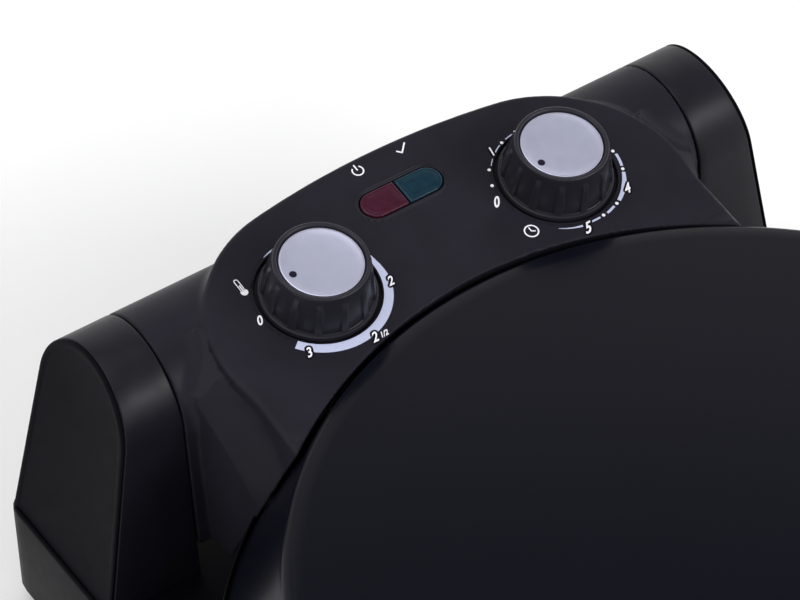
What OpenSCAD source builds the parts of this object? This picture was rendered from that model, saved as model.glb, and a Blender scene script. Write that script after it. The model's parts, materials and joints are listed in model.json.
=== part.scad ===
// Electric pizza maker: round clamshell oven with a baking stone. A control housing with two dials and
// a lamp window sits on the lid, at the hinge. It turns with the lid between two ears of the base.
// Frame: +X to the right, +Y towards the hinge, +Z up. The origin is on the floor, under the middle
// of the whole width and depth.

/* [Lid] */
// Radius of the lid's lower edge
lid_low_r = 172.4; // [160:0.2:190]
// How much narrower the lid is at its top edge, on the radius
lid_flare = 21.2; // [18:0.2:24]
// Height of the lid's top edge above the floor
rim_z = 137.8; // [136:0.2:140]
// Height of the lid's lower edge above the floor
lid_low_z = 86; // [85:0.5:88]
// Rise of the lid's crown above its edge
crown_rise = 4; // [2:0.5:6]
// Radius of the lid's rounded top edge
edge_r = 4; // [3:0.5:5]
// Thickness of the lid's sheet steel
lid_wall = 1.2; // [0.8:0.1:1.5]
// Thickness of the inner sheets and of the rings at the rims
sheet = 0.8; // [0.6:0.1:1]
// Depth of the air space between the lid and its inner reflector
reflector_gap = 9; // [7:0.5:11]
// Radius of the upper heating loop
upper_loop_r = 100; // [85:1:110]
// Drop of the upper heating loop below the reflector
upper_drop = 10; // [8:0.5:13]

/* [Base] */
// Step in from the lid's lower edge to the round base, on the radius
base_step = 0.4; // [0.2:0.1:1]
// Width of the base's flat rim round the bowl
rim_w = 14.5; // [13:0.5:18]
// Height of the base's top flange above the floor
base_top_z = 81.4; // [80:0.2:81.6]
// Thickness of the plastic walls
wall = 2.5; // [2:0.1:3]
// Height of the flat deck behind the bowl, on which the ears stand
deck_z = 51; // [46:1:54]
// Width of deck left beside the foot of each ear
deck_edge = 1.2; // [0.6:0.2:5]
// Distance from the hinge axis to the rear wall of the base
block_back = 36; // [35.5:0.5:40]
// Corner radius of the rear block
block_corner = 8; // [4:1:10]
// Height of the bottom edge of the base above the floor
skirt_z = 9; // [7:0.5:11]
// Height of the bowl's floor above the floor
bowl_z = 44; // [41:0.5:47]
// Gap between the baking stone and the bowl's wall
stone_gap = 2.5; // [2:0.5:6]
// Thickness of the baking stone
stone_t = 10; // [8:0.5:12]
// Height of the stone's underside above the bowl's floor
stone_lift = 22; // [21:0.5:24]
// Radius of the lower heating loop
lower_loop_r = 105; // [85:1:112]
// Height of the lower heating loop above the bowl's floor
lower_rise = 10; // [8:0.5:13]
// Radius of a heating tube
tube_r = 3.25; // [2.5:0.25:4]
// Distance of each heating leg from the middle
leg_x = 14; // [12:1:18]
// Height of the heat shield above the floor
shield_z = 26; // [22:1:30]
// Radius of a rubber foot
foot_r = 11; // [8:0.5:14]

/* [Hinge] */
// Distance from the lid's lower edge back to the hinge axis
hinge_gap = 20.1; // [19:0.1:23]
// Height of the hinge axis above the floor
hinge_z = 116; // [115:0.5:117]
// Radius of the barrel round the hinge axis
barrel_r = 26.5; // [25:0.5:27]
// Distance from the middle to the seam between housing and ear
seam_x = 109.5; // [109:0.5:112]
// Width of the seam
seam_gap = 0.5; // [0.4:0.1:0.8]
// Width of an ear at its top
ear_w = 18.2; // [17:0.2:22]
// Outward slope of an ear's outer side, degrees
ear_flare = 10.8; // [9:0.2:11]
// Thickness of the cover on the outer side of each ear
ear_cap_t = 1.3; // [1:0.1:3]
// Half depth of an ear at the deck
ear_foot = 32; // [31:0.5:32.5]
// Radius of a hinge pin
pin_r = 5; // [4:0.25:5.5]
// Wall of a hinge bush round its pin
bush_wall = 4; // [3:0.25:5]
// Running clearance of a shaft or pin, on the radius
run_gap = 0.05; // [0.03:0.01:0.09]
// Gap between pieces that are put together
fit_gap = 0.3; // [0.2:0.05:0.4]

/* [Controls] */
// Distance between the two knob axes
knob_pitch = 100; // [92:1:106]
// Slope of the panel towards the user, degrees
panel_tilt = 9.4; // [8.6:0.2:10]
// Distance from the panel's knob line back to the hinge axis
panel_lead = 18.7; // [18:0.1:20]
// Height of the panel at its knob line
panel_z = 142; // [141:0.2:143]
// Half width of the raised panel
panel_half = 94.5; // [93:0.5:96]
// Distance from the knob line back to the panel's rear edge
panel_rear = 41.1; // [39:0.5:42]
// Radius of the panel's rear corners
panel_corner = 52; // [46:1:54]
// Depth of the housing under the panel
housing_depth = 45; // [43:1:46]
// Gap between the lid's wall and the housing in front of the barrel
lid_gap = 1.6; // [1.4:0.1:2.2]
// Height of a knob above the panel
knob_h = 16.9; // [14:0.1:18]
// Radius of a knob's flange
flange_r = 20.5; // [19.5:0.1:21]
// Radius of a knob's skirt at the bottom
skirt_r = 19.2; // [18:0.1:19.4]
// Radius of a knob at the top
knob_top_r = 16.3; // [15.5:0.1:17]
// Radius of a knob's metal cap
cap_r = 14.4; // [12:0.1:14.6]
// Radius of a knob shaft
shaft_r = 3; // [2.5:0.25:3.5]
// Number of ribs round a knob
rib_count = 14; // [8:1:20]
// Length of the lamp window
lamp_len = 32.5; // [26:0.5:36]
// Width of the lamp window
lamp_w = 10.8; // [8:0.2:12]
// Distance from the knob line back to the lamp window
lamp_back = 21; // [20:0.5:25]
// Radius of the timer's body
timer_r = 17; // [14:0.5:18]
// Radius of the thermostat's body
thermostat_r = 15; // [12:0.5:17]

/* [Handles] */
// Clear space for the fingers between lid and grip
finger_gap = 24; // [20:1:32]
// Radius of a grip bar
grip_r = 9.5; // [8:0.5:12]
// Length of a grip bar
grip_len = 116; // [100:2:130]
// Distance between the two posts of a grip
post_pitch = 80; // [66:2:88]
// Radius of a grip's post
post_r = 6; // [4.5:0.5:7]
// Height of the lid's grip above the floor
lid_grip_z = 112; // [106:1:116]
// Height of the base's grip above the floor
base_grip_z = 50; // [40:1:58]

/* [Hidden] */
$fn = 96;
big = 400;

// Places that follow from the sizes above.
lid_top_r = lid_low_r - lid_flare;
base_r = lid_low_r - base_step;
bowl_r = base_r - rim_w;
stone_r = bowl_r - stone_gap;
hinge_back = lid_low_r + hinge_gap;
panel_back = hinge_back - panel_lead;
bush_out = 6;
front_end = lid_low_r + finger_gap + 2 * grip_r;
rear_end = hinge_back + block_back + bush_out;
dome_y = (front_end - rear_end) / 2;
hinge_y = dome_y + hinge_back;
panel_y = dome_y + panel_back;
grip_y = dome_y - lid_low_r - finger_gap - grip_r;
ear_top_x = seam_x + seam_gap / 2 + ear_w;
ear_foot_x = ear_top_x + fit_gap + ear_cap_t / cos(ear_flare) + (hinge_z + barrel_r - deck_z) * tan(ear_flare);
block_half = ear_foot_x + deck_edge;
half_seam = seam_x - seam_gap / 2;
ear_x = seam_x + seam_gap / 2;
end_plate = 2.8;
ear_boss = 12;
lid_slope = (lid_low_r - lid_top_r) / (rim_z - lid_low_z);
element_bend = 12;
hole_gap = 0.4;
stone_z = bowl_z + sheet + stone_lift;
lower_z = bowl_z + sheet + lower_rise;
reflector_z = rim_z - edge_r - reflector_gap;
upper_z = reflector_z - upper_drop;
trim_z = base_top_z + sheet;
trim_t = 1.8;
screw_r = 1.6;
head_r = 4;
cover_t = 2;
cover_z = skirt_z + 2;
cover_top = cover_z + cover_t;
shield_r = bowl_r - 27.5;
pillar_ring = shield_r - 12;
pillar_r = 4;
neck_r = 2.4;
recess_r = flange_r + 1.3;
recess_d = 2;
recess_floor = 2;
bracket_z = -6.6;
bracket_t = 1.2;
bracket_over = 29;
bracket_w = 20;
bezel_rim = 1;
bezel_d = 8;
neon_r = 1.8;

function lid_r(z) = lid_low_r - (z - lid_low_z) * lid_slope;

// Shapes that several pieces share.
module along_x(x, len) {
  translate([x, 0, 0]) rotate([90, 0, 90]) linear_extrude(len) children();
}

module on_panel() {
  translate([0, panel_y, panel_z]) rotate([panel_tilt, 0, 0]) children();
}

module ring(r_in, r_out, z, t) {
  translate([0, dome_y, z]) difference() {
    cylinder(r = r_out, h = t);
    translate([0, 0, -1]) cylinder(r = r_in, h = t + 2);
  }
}

// Everything inside the lid's cone, grown outward by a distance.
module lid_cone(grow) {
  z_low = lid_low_z - 40;
  z_high = rim_z + 20;
  translate([0, dome_y, z_low])
    cylinder(r1 = lid_r(z_low) + grow, r2 = lid_r(z_high) + grow, h = z_high - z_low, $fn = 160);
}

module stadium(len, w) {
  square([len - w, w], center = true);
  for (s = [-1, 1]) translate([s * (len - w) / 2, 0]) circle(d = w);
}

module screw(len, r = screw_r, head = head_r) {
  cylinder(r = r, h = len);
  translate([0, 0, -2]) cylinder(r = head, h = 2);
}

// A heating tube: one round loop, with two legs that leave it side by side towards the hinge.
// Each stop on its middle line is [x, y, heading]: leg, bend, loop, bend, leg.
function arc_stops(cx, cy, r, a0, a1, n, way) =
  [for (k = [0:n]) let (a = a0 + (a1 - a0) * k / n) [cx + r * cos(a), cy + r * sin(a), a + way * 90]];

function tube_stops(loop_r, leg_end) =
  let (turn = asin((leg_x + element_bend) / (loop_r + element_bend)),
    bend_x = leg_x + element_bend, bend_y = (loop_r + element_bend) * cos(turn))
  concat([[leg_x, leg_end, 270]], arc_stops(bend_x, bend_y, element_bend, 180, 270 - turn, 6, 1),
    [for (k = [1:55]) let (a = 90 - turn - (360 - 2 * turn) * k / 56) [loop_r * cos(a), loop_r * sin(a), a - 90]],
    arc_stops(-bend_x, bend_y, element_bend, turn - 90, 0, 6, 1), [[-leg_x, leg_end, 90]]);

module heating_tube(loop_r, z, leg_end, r) {
  stops = tube_stops(loop_r, leg_end);
  sides = 10;
  last = len(stops) - 1;
  points = [for (s = stops) for (i = [0:sides - 1]) let (a = i * 360 / sides)
    [s[0] - r * cos(a) * sin(s[2]), s[1] + r * cos(a) * cos(s[2]), r * sin(a)]];
  walls = [for (k = [0:last - 1]) for (i = [0:sides - 1]) let (m = (i + 1) % sides, p = k * sides, q = p + sides)
    each [[p + i, q + i, q + m], [p + i, q + m, p + m]]];
  ends = [for (i = [1:sides - 2]) each [[0, i, i + 1], [last * sides, last * sides + i + 1, last * sides + i]]];
  translate([0, dome_y, z]) polyhedron(points, concat(walls, ends));
}

module loop_only(loop_r, z, r) {
  translate([0, dome_y, z]) rotate_extrude() translate([loop_r, 0]) circle(r);
}

module leg_holes(z, y_from, len, r) {
  for (s = [-1, 1]) translate([s * leg_x, dome_y + y_from, z]) rotate([-90, 0, 0]) cylinder(r = r, h = len);
}

// ---- Base ----
module base_outline(inset) {
  translate([0, dome_y]) circle(r = base_r - inset, $fn = 200);
  y_end = hinge_y + block_back - inset;
  c = block_corner - inset;
  half = block_half - inset;
  y_start = dome_y + base_r / 3;
  translate([-half, y_start]) square([2 * half, y_end - c - y_start]);
  translate([c - half, y_start]) square([2 * (half - c), y_end - y_start]);
  for (s = [-1, 1]) translate([s * (half - c), y_end - c]) circle(r = c);
}

boss_spots = [for (a = [200, 270, 340]) [(base_r - 12) * cos(a), dome_y + (base_r - 12) * sin(a)],
  for (s = [-1, 1]) [s * (block_half - 12), hinge_y + block_back - 14]];

module base_shell() color([0.09, 0.09, 0.1]) difference() {
  union() {
    difference() {
      union() {
        translate([0, 0, skirt_z]) linear_extrude(deck_z - skirt_z) base_outline(0);
        translate([0, dome_y, skirt_z]) cylinder(r = base_r, h = base_top_z - skirt_z, $fn = 200);
      }
      translate([0, 0, skirt_z - 1]) linear_extrude(deck_z - wall - skirt_z + 1) base_outline(wall);
      translate([0, dome_y, skirt_z - 1])
        cylinder(r = base_r - wall, h = base_top_z - wall - skirt_z + 1, $fn = 200);
    }
    for (p = boss_spots) translate([p[0], p[1], cover_top + fit_gap])
      cylinder(r = 5, h = deck_z - wall / 2 - cover_top - fit_gap);
    for (p = boss_spots) if (p[1] < dome_y) translate([p[0], p[1], deck_z - wall])
      cylinder(r = 5, h = base_top_z - wall / 2 - deck_z + wall);
  }
  translate([0, dome_y, 0]) cylinder(r = bowl_r + sheet + 2, h = big, $fn = 200);
  for (p = boss_spots) translate([p[0], p[1], 0]) cylinder(r = screw_r + 0.1, h = cover_top + 14);
  translate([0, hinge_y, cord_z]) rotate([-90, 0, 0]) cylinder(r = cord_tube_r + 0.2, h = block_back + 1);
  for (s = [-1, 1]) translate([s * (ear_x + 12), hinge_y, deck_z - 10]) cylinder(r = 6, h = 20);
  for (s = [-1, 1]) translate([s * post_pitch / 2, dome_y - base_r + 10, base_grip_z]) rotate([90, 0, 0])
    cylinder(r = screw_r + 0.1, h = 40);
}

module base_cover() color([0.14, 0.14, 0.15]) difference() {
  translate([0, 0, cover_z]) linear_extrude(cover_t) base_outline(wall + fit_gap);
  for (p = boss_spots) translate([p[0], p[1], 0]) cylinder(r = screw_r + 0.2, h = 40);
  for (k = [-4:4]) translate([k * 14, dome_y - 30, cover_z - 1]) linear_extrude(cover_t + 2)
    rotate(90) stadium(70, 5);
}

module base_bowl() color([0.72, 0.73, 0.74]) difference() {
  translate([0, dome_y, 0]) rotate_extrude($fn = 200) {
    translate([bowl_r, bowl_z + 6]) square([sheet, base_top_z + sheet - bowl_z - 6]);
    translate([bowl_r, base_top_z]) square([base_r - 5 - bowl_r, sheet]);
    translate([0, bowl_z]) square([bowl_r - 6, sheet]);
    translate([bowl_r - 6, bowl_z + 6 + sheet]) intersection() {
      difference() {
        circle(6 + sheet);
        circle(6);
      }
      translate([0, -20]) square([20, 20]);
    }
  }
  leg_holes(lower_z, bowl_r - 20, 40, tube_r + hole_gap);
}

module base_trim() color([0.06, 0.06, 0.07]) {
  ring(bowl_r + sheet + 1, base_r + sheet + fit_gap / 2, trim_z, trim_t);
  ring(base_r + fit_gap / 2, base_r + sheet + fit_gap / 2, trim_z - 4, 4);
}

module stone() color([0.78, 0.66, 0.5]) translate([0, dome_y, stone_z]) cylinder(r = stone_r, h = stone_t, $fn = 160);

// Four bent sheet brackets carry the stone at its edge.
module stone_brackets() color([0.66, 0.67, 0.68]) for (a = [45:90:315]) translate([0, dome_y, bowl_z + sheet])
  rotate([0, 0, a]) {
    translate([stone_r - 18, -8, 0]) cube([14, 16, 1.2]);
    translate([stone_r - 18, -8, 0]) cube([1.2, 16, stone_lift]);
    translate([stone_r - 18, -8, stone_lift - 1.2]) cube([14, 16, 1.2]);
  }

module lower_element() color([0.3, 0.29, 0.28]) heating_tube(lower_loop_r, lower_z, bowl_r + 10, tube_r);

module lower_clips() color([0.66, 0.67, 0.68]) difference() {
  for (a = [-30, 210, 270]) translate([0, dome_y, bowl_z + sheet]) rotate([0, 0, a])
    translate([lower_loop_r - 6, -1, 0]) cube([12, 2, lower_rise + tube_r + 2]);
  loop_only(lower_loop_r, lower_z, tube_r + fit_gap / 2);
}

module lower_terminals() color([0.9, 0.89, 0.85]) difference() {
  leg_holes(lower_z, bowl_r + sheet + 0.2, 7, tube_r + 2.4);
  leg_holes(lower_z, bowl_r - 5, 30, tube_r + 0.1);
}

pillar_spots = [for (a = [35:90:305]) [pillar_ring * cos(a), dome_y + pillar_ring * sin(a)]];

module heat_shield() color([0.62, 0.63, 0.65]) difference() {
  translate([0, dome_y, shield_z]) cylinder(r = shield_r, h = sheet, $fn = 120);
  for (p = pillar_spots) translate([p[0], p[1], 0]) cylinder(r = neck_r + 0.2, h = 60);
}

module shield_pillars() color([0.6, 0.6, 0.62]) for (p = pillar_spots) translate([p[0], p[1], 0]) {
  translate([0, 0, cover_top]) cylinder(r = pillar_r, h = shield_z - cover_top);
  translate([0, 0, shield_z - 1]) cylinder(r = neck_r, h = sheet + 2);
  translate([0, 0, shield_z + sheet]) cylinder(r = pillar_r, h = bowl_z - shield_z - sheet);
}

foot_ring = base_r - 30;
foot_spots = [for (s = [-1, 1]) [s * foot_ring * sin(42), dome_y - foot_ring * cos(42)],
  for (s = [-1, 1]) [s * (block_half - 29), hinge_y]];

module feet() color([0.06, 0.06, 0.06]) for (p = foot_spots) translate([p[0], p[1], 0]) {
  cylinder(r = foot_r, h = cover_z - 3);
  translate([0, 0, cover_z - 3]) cylinder(r1 = foot_r, r2 = foot_r - 2, h = 3);
}

module cover_screws() color([0.55, 0.55, 0.56]) for (p = boss_spots) translate([p[0], p[1], cover_z])
  screw(12 + cover_t);

cord_z = 30;
cord_tube_r = 7;
cord_bore_r = 3.6;

module cord_bush() color([0.05, 0.05, 0.05]) translate([0, hinge_y + block_back, cord_z]) rotate([-90, 0, 0])
  difference() {
    union() {
      translate([0, 0, -wall - 3]) cylinder(r = cord_tube_r + 2, h = 3);
      translate([0, 0, -wall - 1]) cylinder(r = cord_tube_r, h = wall + 1.1);
      cylinder(r = cord_tube_r + 2, h = 2);
      translate([0, 0, 2]) cylinder(r1 = cord_tube_r, r2 = cord_tube_r - 1.5, h = bush_out - 2);
    }
    translate([0, 0, -20]) cylinder(r = cord_bore_r, h = 50);
  }

module terminal_block() color([0.88, 0.87, 0.82]) translate([0, hinge_y - 6, cover_top]) difference() {
  translate([-18, -9, 0]) cube([36, 18, 14]);
  for (x = [-12, 0, 12]) translate([x, -20, 8]) rotate([-90, 0, 0]) cylinder(r = 1.8, h = 40);
}

module thermal_fuse() color([0.85, 0.84, 0.8]) translate([42, dome_y + 10, 0]) {
  translate([0, 0, bowl_z - 6]) cylinder(r = 8, h = 6);
  for (s = [-1, 1]) translate([s * 4 - 1.5, -0.4, bowl_z - 12]) cube([3, 0.8, 7]);
}

// ---- Ears ----
module ear_profile(r, foot, z_low) {
  translate([hinge_y, hinge_z]) circle(r, $fn = 120);
  polygon([[hinge_y - r, hinge_z], [hinge_y - foot, z_low], [hinge_y + foot, z_low], [hinge_y + r, hinge_z]]);
}

// Slab along the sloped outer side of the right ear.
module side_slab(off, t) {
  translate([ear_top_x + off, hinge_y, hinge_z + barrel_r]) rotate([0, -ear_flare, 0])
    translate([0, -big / 2, -big / 2]) cube([t, big, big]);
}

module ear_body() difference() {
  union() {
    difference() {
      along_x(ear_x, 60) ear_profile(barrel_r, ear_foot, deck_z);
      along_x(ear_x + wall, 60) ear_profile(barrel_r - wall, ear_foot - wall, deck_z + wall);
    }
    along_x(ear_x, ear_boss) translate([hinge_y, hinge_z]) circle(pin_r + 6);
  }
  side_slab(0, 100);
  along_x(ear_x - 1, ear_boss + 2) translate([hinge_y, hinge_z]) circle(pin_r + run_gap);
  translate([ear_x + 12, hinge_y, deck_z - 5]) cylinder(r = 6, h = 20);
}

module ear_cap() intersection() {
  along_x(ear_x, 70) ear_profile(barrel_r, ear_foot, deck_z);
  side_slab(fit_gap, ear_cap_t);
}

module ear_right() color([0.08, 0.08, 0.09]) ear_body();
module ear_left() color([0.08, 0.08, 0.09]) mirror([1, 0, 0]) ear_body();
module ear_cap_right() color([0.1, 0.1, 0.11]) ear_cap();
module ear_cap_left() color([0.1, 0.1, 0.11]) mirror([1, 0, 0]) ear_cap();

pin_in = 15;

module hinge_pin() {
  along_x(half_seam - pin_in, pin_in + seam_gap + ear_boss) translate([hinge_y, hinge_z]) circle(pin_r);
  along_x(ear_x + ear_boss, 2) translate([hinge_y, hinge_z]) circle(pin_r + 2.5);
}

module hinge_pin_right() color([0.7, 0.7, 0.72]) hinge_pin();
module hinge_pin_left() color([0.7, 0.7, 0.72]) mirror([1, 0, 0]) hinge_pin();

module hinge_bush() difference() {
  along_x(half_seam - pin_in - 1, pin_in + 1) translate([hinge_y, hinge_z]) circle(pin_r + bush_wall);
  along_x(half_seam - pin_in - 2, pin_in + 3) translate([hinge_y, hinge_z]) circle(pin_r + run_gap);
}

module hinge_bush_right() color([0.8, 0.62, 0.3]) hinge_bush();
module hinge_bush_left() color([0.8, 0.62, 0.3]) mirror([1, 0, 0]) hinge_bush();

// ---- Grips ----
module grip_bar(z) translate([0, grip_y, z]) {
  rotate([0, 90, 0]) cylinder(r = grip_r, h = grip_len - 2 * grip_r, center = true);
  for (s = [-1, 1]) translate([s * (grip_len / 2 - grip_r), 0, 0]) sphere(grip_r);
}

module grip_posts(z, y_end, r = post_r) for (s = [-1, 1]) translate([s * post_pitch / 2, grip_y, z])
  rotate([-90, 0, 0]) cylinder(r = r, h = y_end - grip_y);

module base_grip() color([0.07, 0.07, 0.08]) difference() {
  union() {
    grip_bar(base_grip_z);
    grip_posts(base_grip_z, dome_y - base_r / 2);
  }
  translate([0, dome_y, 0]) cylinder(r = base_r + 0.1, h = 200, $fn = 200);
  for (s = [-1, 1]) translate([s * post_pitch / 2, grip_y, base_grip_z]) rotate([-90, 0, 0])
    cylinder(r = screw_r + 0.05, h = finger_gap + 4 * grip_r);
}

function wall_y(r) = sqrt(r * r - post_pitch * post_pitch / 4);

module base_grip_screws() color([0.55, 0.55, 0.56]) for (s = [-1, 1])
  translate([s * post_pitch / 2, dome_y - wall_y(base_r - wall) + 1.2, base_grip_z]) rotate([90, 0, 0])
    screw(20, screw_r, 3);

module handle_grip() color([0.07, 0.07, 0.08]) difference() {
  grip_bar(lid_grip_z);
  grip_posts(lid_grip_z, dome_y, post_r + 0.1);
}

module handle_posts() color([0.07, 0.07, 0.08]) difference() {
  grip_posts(lid_grip_z, dome_y - lid_top_r / 2);
  lid_cone(0.1);
  for (s = [-1, 1]) translate([s * post_pitch / 2, grip_y + 4, lid_grip_z]) rotate([-90, 0, 0])
    cylinder(r = screw_r + 0.05, h = finger_gap + 4 * grip_r);
}

module handle_screws() color([0.55, 0.55, 0.56]) for (s = [-1, 1])
  translate([s * post_pitch / 2, dome_y - wall_y(lid_r(lid_grip_z)) + 3.6, lid_grip_z]) rotate([90, 0, 0])
    screw(22, screw_r, 3);

// ---- Lid ----
// Outline of the lid's sheet, from the crown to the lower edge, moved inward by a distance.
function lid_path(inset) = [
  [0, rim_z + crown_rise - inset],
  [lid_top_r * 0.35, rim_z + crown_rise * 0.88 - inset],
  [lid_top_r * 0.7, rim_z + crown_rise * 0.5 - inset],
  for (k = [0:6]) [lid_top_r - edge_r + (edge_r - inset) * sin(k * 11),
    rim_z - edge_r + (edge_r - inset) * cos(k * 11)],
  [lid_low_r - inset, lid_low_z]];

module lid_dome() color([0.07, 0.07, 0.1]) difference() {
  translate([0, dome_y, 0]) rotate_extrude($fn = 200)
    polygon(concat(lid_path(0), [for (k = [len(lid_path(lid_wall)) - 1:-1:0]) lid_path(lid_wall)[k]]));
  for (s = [-1, 1]) translate([s * post_pitch / 2, dome_y - lid_top_r / 2, lid_grip_z]) rotate([90, 0, 0])
    cylinder(r = screw_r + 0.1, h = big);
  strap_holes(screw_r + 0.1);
  translate([0, dome_y + lid_top_r / 2, upper_z]) rotate([-90, 0, 0]) cylinder(r = 7, h = lid_low_r);
}

module lid_reflector() color([0.74, 0.75, 0.76]) difference() {
  r_top = lid_r(reflector_z) - reflector_gap - 6;
  r_low = bowl_r - 1;
  z_low = lid_low_z;
  translate([0, dome_y, 0]) rotate_extrude($fn = 200) polygon([[0, reflector_z], [r_top - 4, reflector_z],
    [r_top, reflector_z - 4], [r_low, z_low], [lid_low_r - 4, z_low], [lid_low_r - 4, z_low + sheet],
    [r_low + sheet, z_low + sheet], [r_top + sheet, reflector_z - 3.7], [r_top - 3.6, reflector_z + sheet],
    [0, reflector_z + sheet]]);
  leg_holes(upper_z, reflector_y(upper_z) - 20, 40, tube_r + hole_gap);
}

module lid_rim() color([0.06, 0.06, 0.07]) {
  ring(bowl_r - 1, lid_low_r + sheet + 0.2, lid_low_z - sheet - 0.1, sheet);
  translate([0, dome_y, 0]) difference() {
    translate([0, 0, lid_low_z - sheet - 0.1])
      cylinder(r = lid_low_r + sheet + 0.2, h = 4);
    translate([0, 0, lid_low_z - 10]) cylinder(r = lid_low_r + 0.2, h = 20);
  }
}

function reflector_y(z) = (bowl_r - 1) - (z - lid_low_z) * (bowl_r - 1 - lid_r(reflector_z) + reflector_gap + 6)
  / (reflector_z - 4 - lid_low_z);

module upper_element() color([0.3, 0.29, 0.28]) heating_tube(upper_loop_r, upper_z, reflector_y(upper_z) + 9, tube_r);

module upper_clips() color([0.66, 0.67, 0.68]) difference() {
  for (a = [-30, 210, 270]) translate([0, dome_y, upper_z - tube_r - 2]) rotate([0, 0, a])
    translate([upper_loop_r - 6, -1, 0]) cube([12, 2, upper_drop + tube_r + 2]);
  loop_only(upper_loop_r, upper_z, tube_r + fit_gap / 2);
}

module upper_terminals() color([0.9, 0.89, 0.85]) difference() {
  leg_holes(upper_z, reflector_y(upper_z) + 3, 5, tube_r + 2);
  leg_holes(upper_z, reflector_y(upper_z) - 5, 30, tube_r + 0.1);
}

// ---- Control housing ----
// Outline of the raised panel, moved inward by a distance. Its origin lies midway between the knobs. One long
// arc at the back runs smoothly into the two corners, and the hollow front edge follows the lid.
panel_back_r = 314;
panel_front_r = lid_top_r + 13.1;
panel_front_y = -panel_back - 12.4;

function arc(cx, cy, r, a0, a1, n, skip = 0) =
  [for (k = [skip:n - skip]) let (a = a0 + (a1 - a0) * k / n) [cx + r * cos(a), cy + r * sin(a)]];

module panel_outline(inset) {
  corner_x = panel_half - panel_corner;
  back_y = panel_rear - panel_back_r;
  corner_y = back_y + sqrt(pow(panel_back_r - panel_corner, 2) - corner_x * corner_x);
  lean = atan2(corner_y - back_y, corner_x);
  c = panel_corner - inset;
  open = acos((panel_half - inset) / (panel_front_r + inset));
  polygon(concat(arc(corner_x, corner_y, c, 0, lean, 12),
    arc(0, back_y, panel_back_r - inset, lean, 180 - lean, 8, 1),
    arc(-corner_x, corner_y, c, 180 - lean, 180, 12),
    arc(0, panel_front_y, panel_front_r + inset, 180 - open, open, 22)));
}

wing_front = [94, sqrt(pow(lid_top_r + 4.6, 2) - 94 * 94) - panel_back];
wing_rear = [106.7, -8.6];
tip_z = 62;
shoulder_drop = 12;

// One side wing: a wall from the panel's front corner back to the ear, and the shoulder behind it.
module wing(t) {
  run = wing_rear - wing_front;
  turn = atan2(run[1], run[0]);
  long = norm(run) + 3;
  translate([wing_front[0], panel_y + wing_front[1], 0]) rotate([0, 0, turn]) rotate([90, 0, 0])
    translate([0, 0, -0.01]) linear_extrude(t) polygon([[0, panel_z - 30], [0, panel_z - 9],
      [long, hinge_z + 8], [long, tip_z + 3], [long - 6, tip_z], [long * 0.55, hinge_z - 32]]);
}

module shoulder() {
  translate([0, panel_y, panel_z - shoulder_drop - 2 * wall]) linear_extrude(2 * wall)
    polygon([[88, wing_front[1] + 2], [wing_front[0], wing_front[1] + 2], wing_rear, [wing_rear[0], 14], [88, 14]]);
}

module housing_outer() difference() {
  union() {
    along_x(-half_seam, 2 * half_seam) translate([hinge_y, hinge_z]) circle(barrel_r, $fn = 120);
    on_panel() translate([0, 0, -housing_depth]) linear_extrude(housing_depth) panel_outline(0);
    for (s = [0, 1]) mirror([s, 0, 0]) shoulder();
  }
  lid_cone(lid_gap);
}

module housing_hollow() difference() {
  union() {
    along_x(end_plate - half_seam, 2 * (half_seam - end_plate)) translate([hinge_y, hinge_z])
      circle(barrel_r - wall, $fn = 120);
    on_panel() translate([0, 0, wall - housing_depth]) linear_extrude(housing_depth - 2 * wall)
      panel_outline(wall);
  }
  lid_cone(lid_gap + wall);
}

// The lower half of the housing comes off as a cover.
cover_half = 88;
cover_cut_z = hinge_z - 8;

module cover_zone(grow) translate([-cover_half - grow, hinge_y - 100, cover_cut_z - 100])
  cube([2 * (cover_half + grow), 200, 100 + grow]);

knob_spots = [[-knob_pitch / 2, 0], [knob_pitch / 2, 0]];
post_spots = [for (x = [-knob_pitch / 2 - 24, -18, 18, knob_pitch / 2 + 24]) [x, -9]];
lamp_x = -1;

// What each end of the housing adds to the barrel: a plate that reaches down beside the ear, a boss for
// the hinge bush and the side wing.
module end_parts() for (s = [0, 1]) mirror([s, 0, 0]) {
  slant = (ear_foot - barrel_r) * (hinge_z - tip_z) / (hinge_z - deck_z);
  along_x(half_seam - end_plate, end_plate) polygon([[hinge_y - barrel_r, hinge_z],
    [hinge_y - barrel_r - slant, tip_z + 1], [hinge_y - barrel_r + 4, tip_z + 1], [hinge_y - 4, hinge_z - barrel_r + 3],
    [hinge_y - 4, hinge_z]]);
  along_x(half_seam - pin_in - 1, pin_in) translate([hinge_y, hinge_z]) circle(pin_r + bush_wall + 3);
  difference() {
    wing(wall);
    lid_cone(lid_gap);
    along_x(half_seam - 0.6, big) translate([hinge_y - 100, 0]) square([200, big]);
  }
}

module control_housing() color([0.11, 0.11, 0.12]) difference() {
  union() {
    difference() {
      housing_outer();
      housing_hollow();
      cover_zone(0);
    }
    on_panel() for (p = knob_spots) translate([p[0], p[1], -recess_d - recess_floor])
      cylinder(r = recess_r + 2, h = recess_d + recess_floor - 0.5);
    on_panel() for (p = post_spots) translate([p[0], p[1], bracket_z + bracket_t])
      cylinder(r = 3.2, h = -bracket_z - bracket_t - 1);
    end_parts();
  }
  along_x(-big / 2, big) translate([hinge_y, hinge_z]) circle(pin_r + bush_wall + 0.1);
  on_panel() for (p = knob_spots) translate([p[0], p[1], 0]) {
    translate([0, 0, -recess_d]) cylinder(r = recess_r, h = 20);
    translate([0, 0, -20]) cylinder(r = shaft_r + 1, h = 40);
  }
  on_panel() translate([lamp_x, lamp_back, -10]) linear_extrude(20)
    stadium(lamp_len + 2 * bezel_rim + 0.3, lamp_w + 2 * bezel_rim + 0.3);
  strap_holes(screw_r + 0.1);
}

module housing_cover() color([0.1, 0.1, 0.11]) intersection() {
  difference() {
    housing_outer();
    housing_hollow();
  }
  translate([0, 0, -fit_gap]) cover_zone(-fit_gap);
}

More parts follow.
